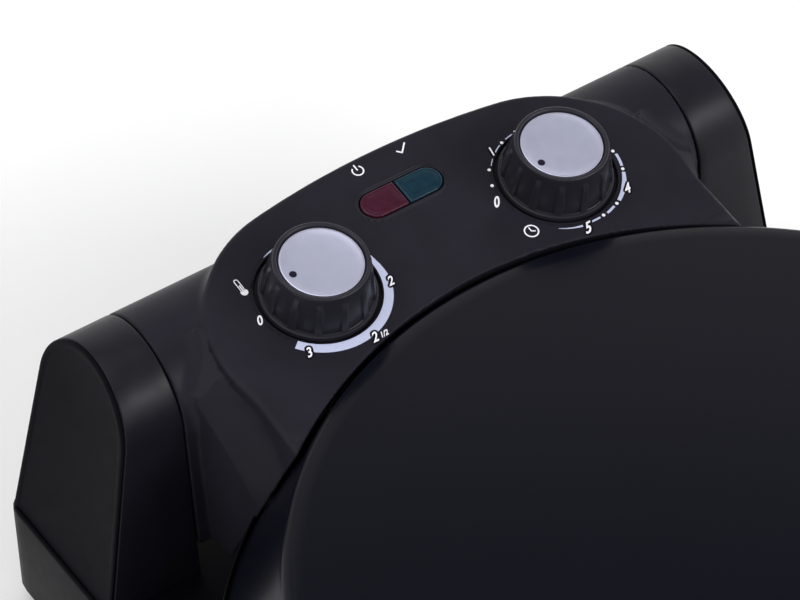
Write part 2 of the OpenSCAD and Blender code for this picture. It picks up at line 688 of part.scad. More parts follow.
// Straps and screws that hold the housing to the lid's rear wall.
strap_x = 66;
strap_z = 118;

module strap_holes(r) for (s = [-1, 1]) translate([s * strap_x, dome_y + lid_top_r / 2, strap_z])
  rotate([-90, 0, 0]) cylinder(r = r, h = hinge_back - lid_top_r / 2 - 8);

module lid_brackets() color([0.6, 0.6, 0.62]) difference() {
  intersection() {
    lid_cone(lid_gap - 0.2);
    for (s = [-1, 1]) translate([s * strap_x - 9, dome_y + 100, strap_z - 9]) cube([18, 100, 18]);
  }
  lid_cone(0.05);
  strap_holes(screw_r + 0.2);
}

function strap_y(r) = sqrt(r * r - strap_x * strap_x);

module housing_screws() color([0.55, 0.55, 0.56]) for (s = [-1, 1])
  translate([s * strap_x, dome_y + strap_y(lid_r(strap_z)) - 4.5, strap_z]) rotate([-90, 0, 0])
    screw(14, screw_r, 3);

module control_bracket() color([0.66, 0.67, 0.68]) on_panel() difference() {
  translate([0, -3, bracket_z]) linear_extrude(bracket_t)
    square([knob_pitch + 2 * bracket_over, bracket_w], center = true);
  for (p = knob_spots) translate([p[0], p[1], -20]) cylinder(r = 5, h = 40);
}

module control_body(x, r, d) on_panel() translate([x, 0, 0]) difference() {
  union() {
    translate([0, 0, bracket_z - d]) cylinder(r = r, h = d);
    translate([0, 0, bracket_z - 0.1]) cylinder(r = 4.6, h = bracket_t + 0.6);
  }
  translate([0, 0, bracket_z - 10]) cylinder(r = shaft_r + run_gap, h = 30);
}

module thermostat_body() color([0.82, 0.8, 0.74]) control_body(-knob_pitch / 2, thermostat_r, 18);
module timer_body() color([0.25, 0.25, 0.27]) control_body(knob_pitch / 2, timer_r, 24);

module lamp_bezel() color([0.06, 0.06, 0.07]) on_panel() translate([lamp_x, lamp_back, -bezel_d]) difference() {
  linear_extrude(bezel_d - 0.5) stadium(lamp_len + 2 * bezel_rim, lamp_w + 2 * bezel_rim);
  translate([0, 0, bezel_d - 3]) linear_extrude(10) stadium(lamp_len + 0.3, lamp_w + 0.3);
  translate([0, 0, 1]) linear_extrude(20) stadium(lamp_len - 2, lamp_w - 2);
}

module lens_half(s) on_panel() translate([lamp_x, lamp_back, -3]) intersection() {
  linear_extrude(3.7) stadium(lamp_len, lamp_w);
  translate([s * (lamp_len / 2 + 0.3), 0, 0]) cube([lamp_len, 40, 40], center = true);
}

module red_lens() color([0.45, 0.1, 0.14]) lens_half(-1);
module green_lens() color([0.1, 0.35, 0.36]) lens_half(1);

module neon_lamps() color([0.9, 0.85, 0.8]) on_panel() for (s = [-1, 1])
  translate([lamp_x + s * 7, lamp_back, -bezel_d + 1.05 + neon_r]) rotate([0, 90, 0])
    cylinder(r = neon_r, h = 9, center = true);

// ---- Knobs ----
module knob() {
  slope = atan2(skirt_r - knob_top_r, knob_h);
  difference() {
    union() {
      translate([0, 0, -1.4]) cylinder(r = flange_r, h = 2.4);
      cylinder(r1 = skirt_r, r2 = knob_top_r, h = knob_h, $fn = 120);
      for (k = [0:rib_count - 1]) rotate([0, 0, (k + 0.5) * 360 / rib_count])
        translate([skirt_r - 1, -1.3, 0.5]) rotate([0, -slope, 0]) cube([1.5, 2.6, knob_h - 2.2]);
    }
    translate([0, 0, knob_h - 2]) cylinder(r = cap_r + 0.3, h = 5);
    translate([0, 0, -5]) cylinder(r = shaft_r + 0.05, h = knob_h + 1);
    translate([0, 0, -2]) difference() {
      cylinder(r1 = skirt_r - 2, r2 = knob_top_r - 2, h = knob_h - 3);
      cylinder(r = shaft_r + 2.5, h = knob_h);
    }
  }
}

module knob_cap() translate([0, 0, knob_h - 2]) cylinder(r = cap_r, h = 1.3);

module knob_shaft() translate([0, 0, bracket_z - 9.5]) cylinder(r = shaft_r, h = knob_h - bracket_z + 5);

module at_knob(s) on_panel() translate([s * knob_pitch / 2, 0, 0]) children();

module temp_knob() color([0.08, 0.08, 0.09]) at_knob(-1) knob();
module timer_knob() color([0.08, 0.08, 0.09]) at_knob(1) knob();
module temp_cap() color([0.7, 0.7, 0.74]) at_knob(-1) knob_cap();
module timer_cap() color([0.7, 0.7, 0.74]) at_knob(1) knob_cap();
module temp_shaft() color([0.75, 0.75, 0.76]) at_knob(-1) knob_shaft();
module timer_shaft() color([0.75, 0.75, 0.76]) at_knob(1) knob_shaft();

base_shell();
base_cover();
base_bowl();
base_trim();
stone();
stone_brackets();
lower_element();
lower_clips();
lower_terminals();
heat_shield();
shield_pillars();
ear_left();
ear_right();
ear_cap_left();
ear_cap_right();
hinge_pin_left();
hinge_pin_right();
base_grip();
base_grip_screws();
feet();
cover_screws();
cord_bush();
terminal_block();
thermal_fuse();
lid_dome();
lid_reflector();
lid_rim();
upper_element();
upper_clips();
upper_terminals();
control_housing();
housing_cover();
lid_brackets();
housing_screws();
control_bracket();
thermostat_body();
timer_body();
lamp_bezel();
red_lens();
green_lens();
neon_lamps();
hinge_bush_left();
hinge_bush_right();
handle_grip();
handle_posts();
handle_screws();
temp_knob();
temp_cap();
temp_shaft();
timer_knob();
timer_cap();
timer_shaft();
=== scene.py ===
"""Electric pizza maker: the looks of each piece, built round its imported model.

Every surface is worked out in millimetres, in the model's own frame: +X right, +Y towards the hinge, +Z up.
"""

import json
import math

import bmesh
import bpy
import numpy as np
from mathutils import Matrix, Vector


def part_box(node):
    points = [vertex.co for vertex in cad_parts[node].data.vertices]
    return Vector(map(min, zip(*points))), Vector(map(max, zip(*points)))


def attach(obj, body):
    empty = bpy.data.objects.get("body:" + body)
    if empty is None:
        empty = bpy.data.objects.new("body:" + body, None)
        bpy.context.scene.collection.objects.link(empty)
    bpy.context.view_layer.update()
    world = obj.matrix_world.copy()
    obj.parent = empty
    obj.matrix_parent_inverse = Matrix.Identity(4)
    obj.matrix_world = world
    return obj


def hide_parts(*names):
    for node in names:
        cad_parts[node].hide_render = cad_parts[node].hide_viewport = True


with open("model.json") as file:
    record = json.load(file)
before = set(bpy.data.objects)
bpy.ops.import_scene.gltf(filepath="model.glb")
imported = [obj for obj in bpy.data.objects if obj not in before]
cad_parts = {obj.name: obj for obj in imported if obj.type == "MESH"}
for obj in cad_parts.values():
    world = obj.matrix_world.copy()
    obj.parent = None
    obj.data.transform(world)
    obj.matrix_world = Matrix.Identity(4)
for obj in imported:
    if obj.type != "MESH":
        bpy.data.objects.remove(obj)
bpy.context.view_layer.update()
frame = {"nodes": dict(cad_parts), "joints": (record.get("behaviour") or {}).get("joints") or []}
nodes = frame["nodes"]
joints = {joint["name"]: joint for joint in frame["joints"]}
MM = 0.001

# ---- Camera ------------------------------------
# A long lens looks down at the two dials from the front left, at the angle of the photograph. It is set
# off a little to the left of the point midway between the two metal caps, and below it.
TURN, PITCH = math.radians(-35.2543), math.radians(45.0527)
CAP_MIDDLE = np.array([0, 161.63, 158.0])
LEFT_BY, DOWN_BY, AWAY_BY = 14.825, 33.24, 1165.345


def stand(obj, side, up, back, spot):
    """Puts an object at 'spot' in metres, with its own axes along side, up and back."""
    axes = np.stack([side, up, back], 1)
    obj.matrix_world = Matrix([[*row, at] for row, at in zip(axes, spot)] + [[0, 0, 0, 1]])
    bpy.context.scene.collection.objects.link(obj)


cam_right = np.array([math.cos(TURN), math.sin(TURN), 0])
cam_up = np.array([-math.sin(TURN) * math.sin(PITCH), math.cos(TURN) * math.sin(PITCH), math.cos(PITCH)])
cam_back = np.cross(cam_right, cam_up)
cam_spot = (CAP_MIDDLE - LEFT_BY * cam_right - DOWN_BY * cam_up + AWAY_BY * cam_back) * MM
camera = bpy.data.objects.new("camera", bpy.data.cameras.new("camera"))
stand(camera, cam_right, cam_up, cam_back, cam_spot)
camera.data.lens, camera.data.sensor_width, camera.data.clip_end = 155.16, 36.0, 20.0
bpy.context.scene.camera = camera


# ---- Floor and light ---------------------------
# A plain pale table top under a white studio. One long soft lamp in front on the right makes the bright
# line along the top of the barrel, a wide one hangs above, and a third stands on the left.
FLOOR_HALF = 4.0
ROOM_LEVEL, SEEN_LEVEL, WALL_LEVEL = 0.7, 1.0, 1.25
GLOSS_FINER = 3.1


def finish(name, tone, rough, metal=0.0, mottle=0.06, mottle_scale=60.0, grain=0.0, grain_scale=1400.0,
           stretch=(1, 1, 1), rough_spread=0.06, **sockets):
    """A material: the tone varies by 'mottle' with a broad noise, the roughness by 'rough_spread' with a
    finer one, and 'grain' millimetres of fine relief come from a third, all on Object coordinates."""
    mat = bpy.data.materials.new(name)
    mat.use_nodes = True
    tree = mat.node_tree
    link = tree.links.new
    shader = tree.nodes["Principled BSDF"]
    place = tree.nodes.new("ShaderNodeTexCoord")
    spread = tree.nodes.new("ShaderNodeMapping")
    spread.inputs["Scale"].default_value = stretch
    link(place.outputs["Object"], spread.inputs["Vector"])

    def noise(scale, detail):
        node = tree.nodes.new("ShaderNodeTexNoise")
        node.inputs["Scale"].default_value = scale
        node.inputs["Detail"].default_value = detail
        link(spread.outputs["Vector"], node.inputs["Vector"])
        return node.outputs["Fac"]

    shade = tree.nodes.new("ShaderNodeValToRGB")
    dark, light = shade.color_ramp.elements
    dark.position, light.position = 0.3, 0.7
    dark.color = [c * (1 - mottle) for c in tone] + [1]
    light.color = [min(1, c * (1 + mottle)) for c in tone] + [1]
    link(noise(mottle_scale, 4), shade.inputs["Fac"])
    link(shade.outputs["Color"], shader.inputs["Base Color"])
    gloss = tree.nodes.new("ShaderNodeMapRange")
    gloss.inputs["To Min"].default_value = max(0.02, rough - rough_spread)
    gloss.inputs["To Max"].default_value = min(1, rough + rough_spread)
    link(noise(mottle_scale * GLOSS_FINER, 3), gloss.inputs["Value"])
    link(gloss.outputs["Result"], shader.inputs["Roughness"])
    if grain:
        relief = tree.nodes.new("ShaderNodeBump")
        relief.inputs["Distance"].default_value = grain * MM
        relief.inputs["Strength"].default_value = 1
        link(noise(grain_scale, 2), relief.inputs["Height"])
        link(relief.outputs["Normal"], shader.inputs["Normal"])
    shader.inputs["Metallic"].default_value = metal
    for socket, value in sockets.items():
        shader.inputs[socket.replace("_", " ")].default_value = value
    return mat


corners = ((-1, -1), (1, -1), (1, 1), (-1, 1))
floor_mesh = bpy.data.meshes.new("floor")
floor_mesh.from_pydata([(FLOOR_HALF * x, FLOOR_HALF * y, 0) for x, y in corners], [], [(0, 1, 2, 3)])
floor_mesh.materials.append(finish("table_top", (0.9, 0.9, 0.9), 0.7, mottle=0.01, mottle_scale=4,
                                   Specular_IOR_Level=0.1))
floor = bpy.data.objects.new("floor", floor_mesh)
bpy.context.scene.collection.objects.link(floor)

studio = bpy.data.worlds.new("studio")
studio.use_nodes = True
bpy.context.scene.world = studio
sky = studio.node_tree


def sky_math(operation, first, second):
    """Joins two values in the world's nodes, each a socket or a number."""
    node = sky.nodes.new("ShaderNodeMath")
    node.operation = operation
    for socket, value in zip(node.inputs, (first, second)):
        if isinstance(value, float):
            socket.default_value = value
        else:
            sky.links.new(value, socket)
    return node.outputs[0]


# What the camera and the mirror rays see of the studio is white; the light it gives is a little weaker.
ray = sky.nodes.new("ShaderNodeLightPath")
direct = sky_math("MAXIMUM", ray.outputs["Is Camera Ray"], ray.outputs["Is Glossy Ray"])
direct = sky_math("MAXIMUM", direct, ray.outputs["Is Transmission Ray"])
level = sky.nodes.new("ShaderNodeMapRange")
level.inputs["To Min"].default_value, level.inputs["To Max"].default_value = ROOM_LEVEL, SEEN_LEVEL
sky.links.new(direct, level.inputs["Value"])
# The black surfaces mirror a bright wall, a dark gap above it and a soft box overhead.
facing = sky.nodes.new("ShaderNodeTexCoord")
height = sky.nodes.new("ShaderNodeSeparateXYZ")
sky.links.new(facing.outputs["Generated"], height.inputs[0])
bands_seen = sky.nodes.new("ShaderNodeValToRGB")
for k, (at, grey) in enumerate(((0.0, 1.0), (0.7, 1.0), (0.745, 0.04), (0.8, 0.04), (0.88, 0.5), (1.0, 0.5))):
    ramp = bands_seen.color_ramp.elements
    stop = ramp[k] if k in (0, 1) else ramp.new(at)
    stop.position, stop.color = at, (grey, grey, grey, 1)
sky.links.new(height.outputs["Z"], bands_seen.inputs["Fac"])
mirrored = sky.nodes.new("ShaderNodeMix")
mirrored.inputs[2].default_value = 1.0
sky.links.new(ray.outputs["Is Glossy Ray"], mirrored.inputs[0])
sky.links.new(sky_math("MULTIPLY", bands_seen.outputs["Color"], WALL_LEVEL), mirrored.inputs[3])
background = sky.nodes["Background"]
background.inputs["Color"].default_value = (1, 1, 1, 1)
strength = sky_math("MULTIPLY", level.outputs["Result"], mirrored.outputs[0])
sky.links.new(strength, background.inputs["Strength"])


def lamp(name, spot, target, size, watts):
    """A rectangular soft lamp at 'spot', facing 'target', both in metres."""
    data = bpy.data.lights.new(name, "AREA")
    data.shape, data.size, data.size_y, data.energy = "RECTANGLE", size[0], size[1], watts
    back = np.array(spot) - np.array(target)
    back = back / np.linalg.norm(back)
    side = np.cross((0, 0, 1), back)
    side = side / np.linalg.norm(side)
    stand(bpy.data.objects.new(name, data), side, np.cross(back, side), back, spot)


lamp("front_lamp", (0.85, -1.45, 1.3), (0, 0.15, 0.1), (1.5, 0.45), 26)
lamp("top_lamp", (-0.3, 0.5, 2.4), (0, 0.1, 0), (1.6, 1.6), 12)
lamp("left_lamp", (-1.6, 0.45, 1.25), (-0.1, 0.15, 0.1), (0.9, 0.9), 8)
bpy.context.scene.view_settings.view_transform = "Standard"

# ---- Control housing ---------------------------
# One moulding of fine-grained black plastic: the tilted panel, the barrel round the hinge and a wing at
# each side that drops past the lid. It is screwed to straps on the lid's rear wall.
HINGE_Y, HINGE_Z = (at / MM for at in joints["lid_hinge"]["pos_m"][1:])
DIAL_X, PANEL_Y, PANEL_Z = (at / MM for at in joints["timer_turn"]["pos_m"])
TILT = math.asin(joints["timer_turn"]["axis"][1])
COS, SIN = math.cos(TILT), math.sin(TILT)
BARREL_R, SEAM_X = 26.5, 109.25
# The lid's cone, from its lower edge to its shoulder.
DOME_Y, LID_LOW_R, LID_LOW_Z, LID_TOP_R, RIM_Z = -9.55, 172.4, 86.0, 151.2, 137.8
LID_SLOPE = (LID_LOW_R - LID_TOP_R) / (RIM_Z - LID_LOW_Z)
# The panel's outline, in its own x and y: two corner circles, a flat arc behind and one in front.
PANEL_HALF, CORNER_R, CORNER_Y, REAR_Y, PANEL_DEEP = 94.5, 52.0, -14.37, -272.9, 45.0
FRONT_Y, FRONT_R = -186.2, 162.8
CORNER_X = PANEL_HALF - CORNER_R
REAR_R = CORNER_R + math.hypot(CORNER_X, CORNER_Y - REAR_Y)
CORNER_END = math.atan2(CORNER_Y - REAR_Y, CORNER_X)
# The wing's wall, the bend along it, its hollow top, its rear end and its slanting foot.
WING_X, WING_Y, WING_TURN, WING_WALL = 93.0, 114.3, math.radians(16.24), 2.5
BEND_Y, BEND_Z, BEND_RISE, BEND_TOP, HOLLOW = 126.6, 102.4, 0.972, 130.0, 0.85
WING_END, FOOT_Y, FOOT_Z, FOOT_RISE = 172.0, 145.6, 60.0, 0.45
# The upright plate between wing and ear: its leaning front, its slanting back, its side and its foot.
PLATE_Y, PLATE_LEAN, BACK_Y, BACK_Z, BACK_RISE = 156.45, 0.0852, 160.5, 63.0, 0.627
PLATE_X, PLATE_FOOT = 104.4, 63.5
# The opening for the lower cover, the play round it, and the walls of moulding and cover.
COVER_HALF, COVER_TOP, COVER_FOOT, COVER_PLAY, COVER_WALL = 88.0, 108.0, 88.0, 0.3, 2.5
WALL, THROUGH = 2.6, 12.0
# The recess and bore of each dial, and the lamps' slot: its middle, half its length and its end radius.
RECESS_R, RECESS_DEEP, BORE_R, DIAL_SEAT = 21.95, 2.2, 5.4, 2.95
LAMP_X, LAMP_Y, LAMP_HALF, SLOT_R, LAMP_SEAT, SEAT_DEEP = -1.0, 21.0, 10.85, 6.6, 2.0, 9.0


def on_panel(points, centre=0.0):
    """Carries points (x, y, height) of the tilted panel, x measured from 'centre', into the frame."""
    p = np.asarray(points, float)
    return np.stack([p[..., 0] + centre, PANEL_Y + COS * p[..., 1] - SIN * p[..., 2],
                     PANEL_Z + SIN * p[..., 1] + COS * p[..., 2]], -1)


def laid(skin, centre=0.0):
    """Lays a skin, made in the panel's own x, y and height, on the panel."""
    return on_panel(skin[0], centre), skin[1]


def to_panel(y, z):
    """The panel's own y and height of points in the frame."""
    return (y - PANEL_Y) * COS + (z - PANEL_Z) * SIN, (z - PANEL_Z) * COS - (y - PANEL_Y) * SIN


def ease(t):
    """A smooth step: t held between 0 and 1, then t^2 (3 - 2t)."""
    t = np.clip(t, 0, 1)
    return t ** 2 * (3 - 2 * t)


def cut_round(a, b, r):
    """Field of what lies inside both a and b, with their edge rounded to radius r."""
    return np.minimum(np.maximum(a, b), -r) + np.hypot(np.maximum(a + r, 0), np.maximum(b + r, 0))


def join_round(a, b, r):
    """Field of what lies inside a or b, with their inner corner filled to radius r."""
    return np.maximum(np.minimum(a, b), r) - np.hypot(np.maximum(r - a, 0), np.maximum(r - b, 0))


def lid_distance(x, y, z):
    """Distance outside the lid's cone."""
    return (np.hypot(x, y - DOME_Y) - LID_LOW_R + (z - LID_LOW_Z) * LID_SLOPE) / math.hypot(1, LID_SLOPE)


def panel_shape(x, py, pz):
    """A plate with a rounded edge. Its outline is the corner circles and the rear arc, swelling by 0.7 mm
    over the first 12 mm, and ahead of them straight sides, drawn in by 1.5 mm over 14 mm."""
    wide, behind = np.abs(x), py - CORNER_Y
    corner = np.hypot(wide - CORNER_X, behind) - CORNER_R
    rear = np.hypot(x, py - REAR_Y) - REAR_R
    lean = np.arctan2(behind, wide - CORNER_X)
    sides = wide - PANEL_HALF + 1.5 * ease(-behind / 14)
    outline = np.where(behind < 0, sides, np.where(lean < CORNER_END, corner, rear)
                       - 0.7 * np.clip(behind / 12, 0, 1))
    return np.maximum(cut_round(outline, pz, 1.8), -pz - PANEL_DEEP)


def wing_shape(x, y, z):
    """A wall that leaves the panel's front corner and runs back to the ear. Its top falls from the
    panel's edge to the bend in the hollow curve t^0.85, where t is about 1 at the wall. It ends on a foot
    that rises to the rear."""
    wide = np.abs(x)
    wall = (wide - WING_X) * math.cos(WING_TURN) - (y - WING_Y) * math.sin(WING_TURN)
    reach = np.maximum((y - WING_Y) * math.tan(WING_TURN), 0.8)
    crease = PANEL_Z + (y - PANEL_Y) * math.tan(TILT) - 0.5
    bend = np.minimum(BEND_Z + BEND_RISE * (y - BEND_Y), BEND_TOP)
    fall = np.maximum(crease - bend, 1)
    t = np.clip((wide - WING_X + 1) / reach, 0, 1.4)
    top = (z - crease + fall * t ** HOLLOW) / np.hypot(1, HOLLOW * fall / reach)
    inside = np.minimum(-WING_WALL - wall, np.maximum(100 - z, 80 - wide))
    ends = np.maximum(y - WING_END, FOOT_Z + FOOT_RISE * (y - FOOT_Y) - z)
    return np.maximum(np.maximum(cut_round(wall, top, 2.0), inside), ends)


def plate_shape(x, y, z):
    """A wedge that fills the corner between the wing, the barrel and the ear."""
    front = PLATE_Y - PLATE_LEAN * (HINGE_Z - z)
    back = (y - BACK_Y - (z - BACK_Z) * BACK_RISE) / math.hypot(1, BACK_RISE)
    return np.maximum(np.maximum(np.maximum(front - y, back), PLATE_X - np.abs(x)),
                      np.maximum(z - HINGE_Z, PLATE_FOOT - z))


def housing_shape(x, y, z):
    """The panel and the wing, each joined with a fillet to the barrel's cylinder, and the plate. All is
    cut back from the lid's cone, by the arc in front of the dials and at the seams with the ears."""
    py, pz = to_panel(y, z)
    barrel = np.hypot(y - HINGE_Y, z - HINGE_Z) - BARREL_R
    wing = join_round(wing_shape(x, y, z), barrel, 3.0)
    shape = np.minimum(join_round(panel_shape(x, py, pz), barrel, 3.0),
                       join_round(wing, plate_shape(x, y, z), 1.0))
    front = cut_round(FRONT_R - np.hypot(x, py - FRONT_Y), 0.5 - lid_distance(x, y, z), 1.0)
    return cut_round(cut_round(shape, front, 0.7), np.abs(x) - SEAM_X, 0.7)


def dial_wall(x, y, z, r=RECESS_R):
    """Distance outside a round wall about either dial: unless r is given, that of its recess."""
    return np.hypot(np.abs(x) - DIAL_X, to_panel(y, z)[0]) - r


def slot_wall(x, y, z, r=SLOT_R):
    """Distance outside a wall with round ends about the lamps: unless r is given, that of their slot."""
    beside = np.maximum(np.abs(x - LAMP_X) - LAMP_HALF, 0)
    return np.hypot(beside, to_panel(y, z)[0] - LAMP_Y) - r


def housing_body(x, y, z):
    """The moulding without its lower cover: hollow inside, with a round recess under each dial, a bore for
    its shaft and a slot for the lamps. The hollow leaves a wall round recess and slot."""
    wide, pz = np.abs(x), to_panel(y, z)[1]
    solid = housing_shape(x, y, z)
    recess = np.maximum(dial_wall(x, y, z), -RECESS_DEEP - pz)
    bore = np.maximum(dial_wall(x, y, z, BORE_R), -THROUGH - pz)
    slot = np.maximum(slot_wall(x, y, z), -THROUGH - pz)
    seats = np.minimum(np.maximum(dial_wall(x, y, z, RECESS_R + DIAL_SEAT), -RECESS_DEEP - WALL - pz),
                       np.maximum(slot_wall(x, y, z, SLOT_R + LAMP_SEAT), -SEAT_DEEP - pz))
    hollow = np.maximum(np.maximum(solid + WALL, wide - COVER_HALF + 1), -seats)
    shape = np.maximum(solid, -np.minimum(np.minimum(recess, slot), np.minimum(bore, hollow)))
    return np.maximum(shape, -np.maximum(wide - COVER_HALF, z - COVER_TOP))


def housing_lower(x, y, z):
    """The lower cover: the part of the same outer shape that fills the opening, as a thin shell."""
    outer = housing_shape(x, y, z)
    limits = np.maximum(np.abs(x) - COVER_HALF + COVER_PLAY, z - COVER_TOP + COVER_PLAY)
    return np.maximum(np.maximum(outer, -outer - COVER_WALL), np.maximum(limits, COVER_FOOT - z))


def drawn_onto(fields, p, rounds, most=1.0, probe=0.05):
    """Moves points onto the zero of each field in turn: p - field * gradient / |gradient|^2."""
    for _ in range(rounds):
        for field in fields:
            grad = [(field(*(p + n).T) - field(*(p - n).T)) / (2 * probe) for n in np.eye(3) * probe]
            grad = np.stack(grad, 1)
            move = grad * (field(*p.T) / np.maximum((grad ** 2).sum(1), 0.2))[:, None]
            p = p - np.clip(move, -most, most)
    return p


def zero_surface(field, low, high, step, edges=()):
    """The surface where field(x, y, z) = 0. Each small cell that the surface crosses gets one point, the
    mean of the crossings on its edges, and each crossed edge gets the face of its four cells. The points
    are drawn onto the surface, and those by a sharp edge onto both of the surfaces that make it."""
    axes = [np.arange(lo, hi + step, step) for lo, hi in zip(low, high)]
    f = field(*np.meshgrid(*axes, indexing="ij"))
    f = np.where(f == 0, 1e-6, f)
    total, count, quads = np.zeros((f.size, 3)), np.zeros(f.size), []
    for a in range(3):
        b, c = (a + 1) % 3, (a + 2) % 3
        near, far = [slice(None)] * 3, [slice(None)] * 3
        near[a], far[a] = slice(0, -1), slice(1, None)
        f0, f1 = f[tuple(near)], f[tuple(far)]
        at = np.argwhere((f0 < 0) != (f1 < 0))
        v0, v1 = f0[tuple(at.T)], f1[tuple(at.T)]
        point = at.astype(float)
        point[:, a] += v0 / (v0 - v1)
        ring = []
        for db, dc in ((0, 0), (1, 0), (1, 1), (0, 1)):
            cell = at.copy()
            cell[:, b] -= db
            cell[:, c] -= dc
            index = np.ravel_multi_index(cell.T, f.shape)
            ring.append(index)
            count += np.bincount(index, minlength=f.size)
            for k in range(3):
                total[:, k] += np.bincount(index, point[:, k], minlength=f.size)
        ring = np.stack(ring, 1)
        quads.append(np.where((v0 > 0)[:, None], ring[:, ::-1], ring))
    used, faces = np.unique(np.concatenate(quads), return_inverse=True)
    p = np.array(low, float) + total[used] / count[used][:, None] * step
    p = drawn_onto([field], p, 5, 0.4 * step)
    for pair in edges:
        near = (np.abs(pair[0](*p.T)) < 0.62 * step) & (np.abs(pair[1](*p.T)) < 0.62 * step)
        p[near] = drawn_onto(pair, p[near], 8)
    return p, faces.reshape(-1, 4)


def rows_of(points, close_rows=False, close_columns=False):
    """Points on a grid (rows, columns, 3), and the four-sided faces between them."""
    points = np.asarray(points, float)
    m, n = points.shape[:2]
    i = np.arange(m if close_rows else m - 1)[:, None]
    j = np.arange(n if close_columns else n - 1)[None]
    i2, j2 = (i + 1) % m, (j + 1) % n
    faces = np.stack([i * n + j, i2 * n + j, i2 * n + j2, i * n + j2], -1)
    return points.reshape(-1, 3), faces.reshape(-1, 4)


def piece(name, parts, mat, body, replaced=(), sharp=40.0, field=None):
    """Makes one object of surfaces given as (points in mm, faces). Doubles are merged, faces are turned
    outwards, and edges sharper than 'sharp' degrees stay sharp. Where the surface is the zero of a field,
    the field's gradient is its shading normal."""
    mesh = bpy.data.meshes.new(name)
    shape = bmesh.new()
    for points, faces in parts:
        part = bpy.data.meshes.new("part")
        part.from_pydata((points * MM).tolist(), [], faces.tolist())
        shape.from_mesh(part)
        bpy.data.meshes.remove(part)
    bmesh.ops.remove_doubles(shape, verts=shape.verts, dist=2e-6)
    bmesh.ops.dissolve_degenerate(shape, edges=shape.edges, dist=1e-6)
    bmesh.ops.recalc_face_normals(shape, faces=shape.faces)
    shape.to_mesh(mesh)
    shape.free()
    mesh.shade_smooth()
    if field is None:
        mesh.set_sharp_from_angle(angle=math.radians(sharp))
    else:
        at = np.empty(len(mesh.vertices) * 3)
        mesh.vertices.foreach_get("co", at)
        at = at.reshape(-1, 3) / MM
        slope = np.stack([field(*(at + n).T) - field(*(at - n).T) for n in np.eye(3) * 0.25], 1)
        slope /= np.maximum(np.linalg.norm(slope, axis=1, keepdims=True), 1e-9)
        mesh.normals_split_custom_set_from_vertices(slope.tolist())
    mesh.materials.append(mat)
    obj = bpy.data.objects.new(name, mesh)
    bpy.context.scene.collection.objects.link(obj)
    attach(obj, body)
    if replaced:
        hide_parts(*replaced)


black_panel = finish("black_panel", (0.0142, 0.0134, 0.0195), 0.38, grain=0.02, grain_scale=2600, mottle=0.12,
                     Specular_IOR_Level=0.06)
cell = 1.1
rims = [(housing_shape, dial_wall), (housing_shape, slot_wall)]
piece("housing", [zero_surface(housing_body, (-111, 108, 58), (111, 213, 152), cell, rims)], black_panel,
      "lid", ["control_housing"], field=housing_body)
piece("housing_lower_cover", [zero_surface(housing_lower, (-90, 112, 86), (90, 213, 110), cell)],
      black_panel, "lid", ["housing_cover"], field=housing_lower)


def lathe(profile, count=128, closed=True):
    """Turns a profile of (radius, height) points about the height axis."""
    profile = np.asarray(profile, float)
    a = np.linspace(0, 2 * math.pi, count, endpoint=False)
    grid = np.stack([profile[:, :1] * np.cos(a), profile[:, :1] * np.sin(a),
                     np.repeat(profile[:, 1:], count, 1)], -1)
    return rows_of(grid, close_rows=closed, close_columns=True)


def bow(x, y, r, start, stop, n):
    """n + 1 points on an arc of radius r about (x, y), from 'start' to 'stop' degrees."""
    a = np.radians(np.linspace(start, stop, n + 1))
    return np.stack([x + r * np.cos(a), y + r * np.sin(a)], 1)


# The floor and the rounded lip of the recess under each dial.
recess_line = np.concatenate([[[22.5, -0.5], [22.5, 0.03], [22.4, 0.07]], bow(22.15, -0.38, 0.45, 90, 180, 5),
                              [[21.7, -2.0], [5, -2.0], [5, -2.6], [22.3, -2.6]]])
for dial, centre in (("temp", -DIAL_X), ("timer", DIAL_X)):
    piece(dial + "_recess", [laid(lathe(recess_line, 160), centre)], black_panel, "lid")


# ---- Ears --------------------------------------
# Each ear is a hollow moulding that stands on the base's rear deck and holds the hinge pin. Its outer
# side leans out by 10.8 degrees and is closed by a flat cover, set off by a narrow groove.
EAR_IN, EAR_OUT, EAR_LEAN = 109.75, 127.95, math.tan(math.radians(10.8))
EAR_TAPER, EAR_FOOT, EAR_FOOT_Z, SPINE_Z = math.radians(4.72), 32.0, 51.02, 76.0


def ear_loop(inset):
    """The ear's outline in the (y, z) plane: an arc of the barrel's radius over the hinge, two straight
    sides that touch it and run down to the deck, and the foot. Arc and sides are moved in by 'inset'."""
    over = np.linspace(math.pi - EAR_TAPER, EAR_TAPER, 73)
    r = BARREL_R - inset
    arc = np.stack([HINGE_Y + r * np.cos(over), HINGE_Z + r * np.sin(over)], 1)
    half = EAR_FOOT - inset / math.cos(EAR_TAPER)
    down = np.linspace(0, 1, 25)[1:, None]
    right = arc[-1] + (np.array([HINGE_Y + half, EAR_FOOT_Z]) - arc[-1]) * down
    left = (arc[0] + (np.array([HINGE_Y - half, EAR_FOOT_Z]) - arc[0]) * down)[::-1]
    under = np.linspace(0, 1, 26)[1:-1, None]
    return np.concatenate([arc, right, right[-1] + (left[0] - right[-1]) * under, left])


def ear_x(z, seam, outer):
    """How far points at height z lie from the middle: 'seam' out from the inner side or, where 'outer' is
    given, that much out from the leaning one."""
    if outer is None:
        return np.full(len(z), EAR_IN + seam)
    return EAR_OUT + (HINGE_Z + BARREL_R - z) * EAR_LEAN + outer


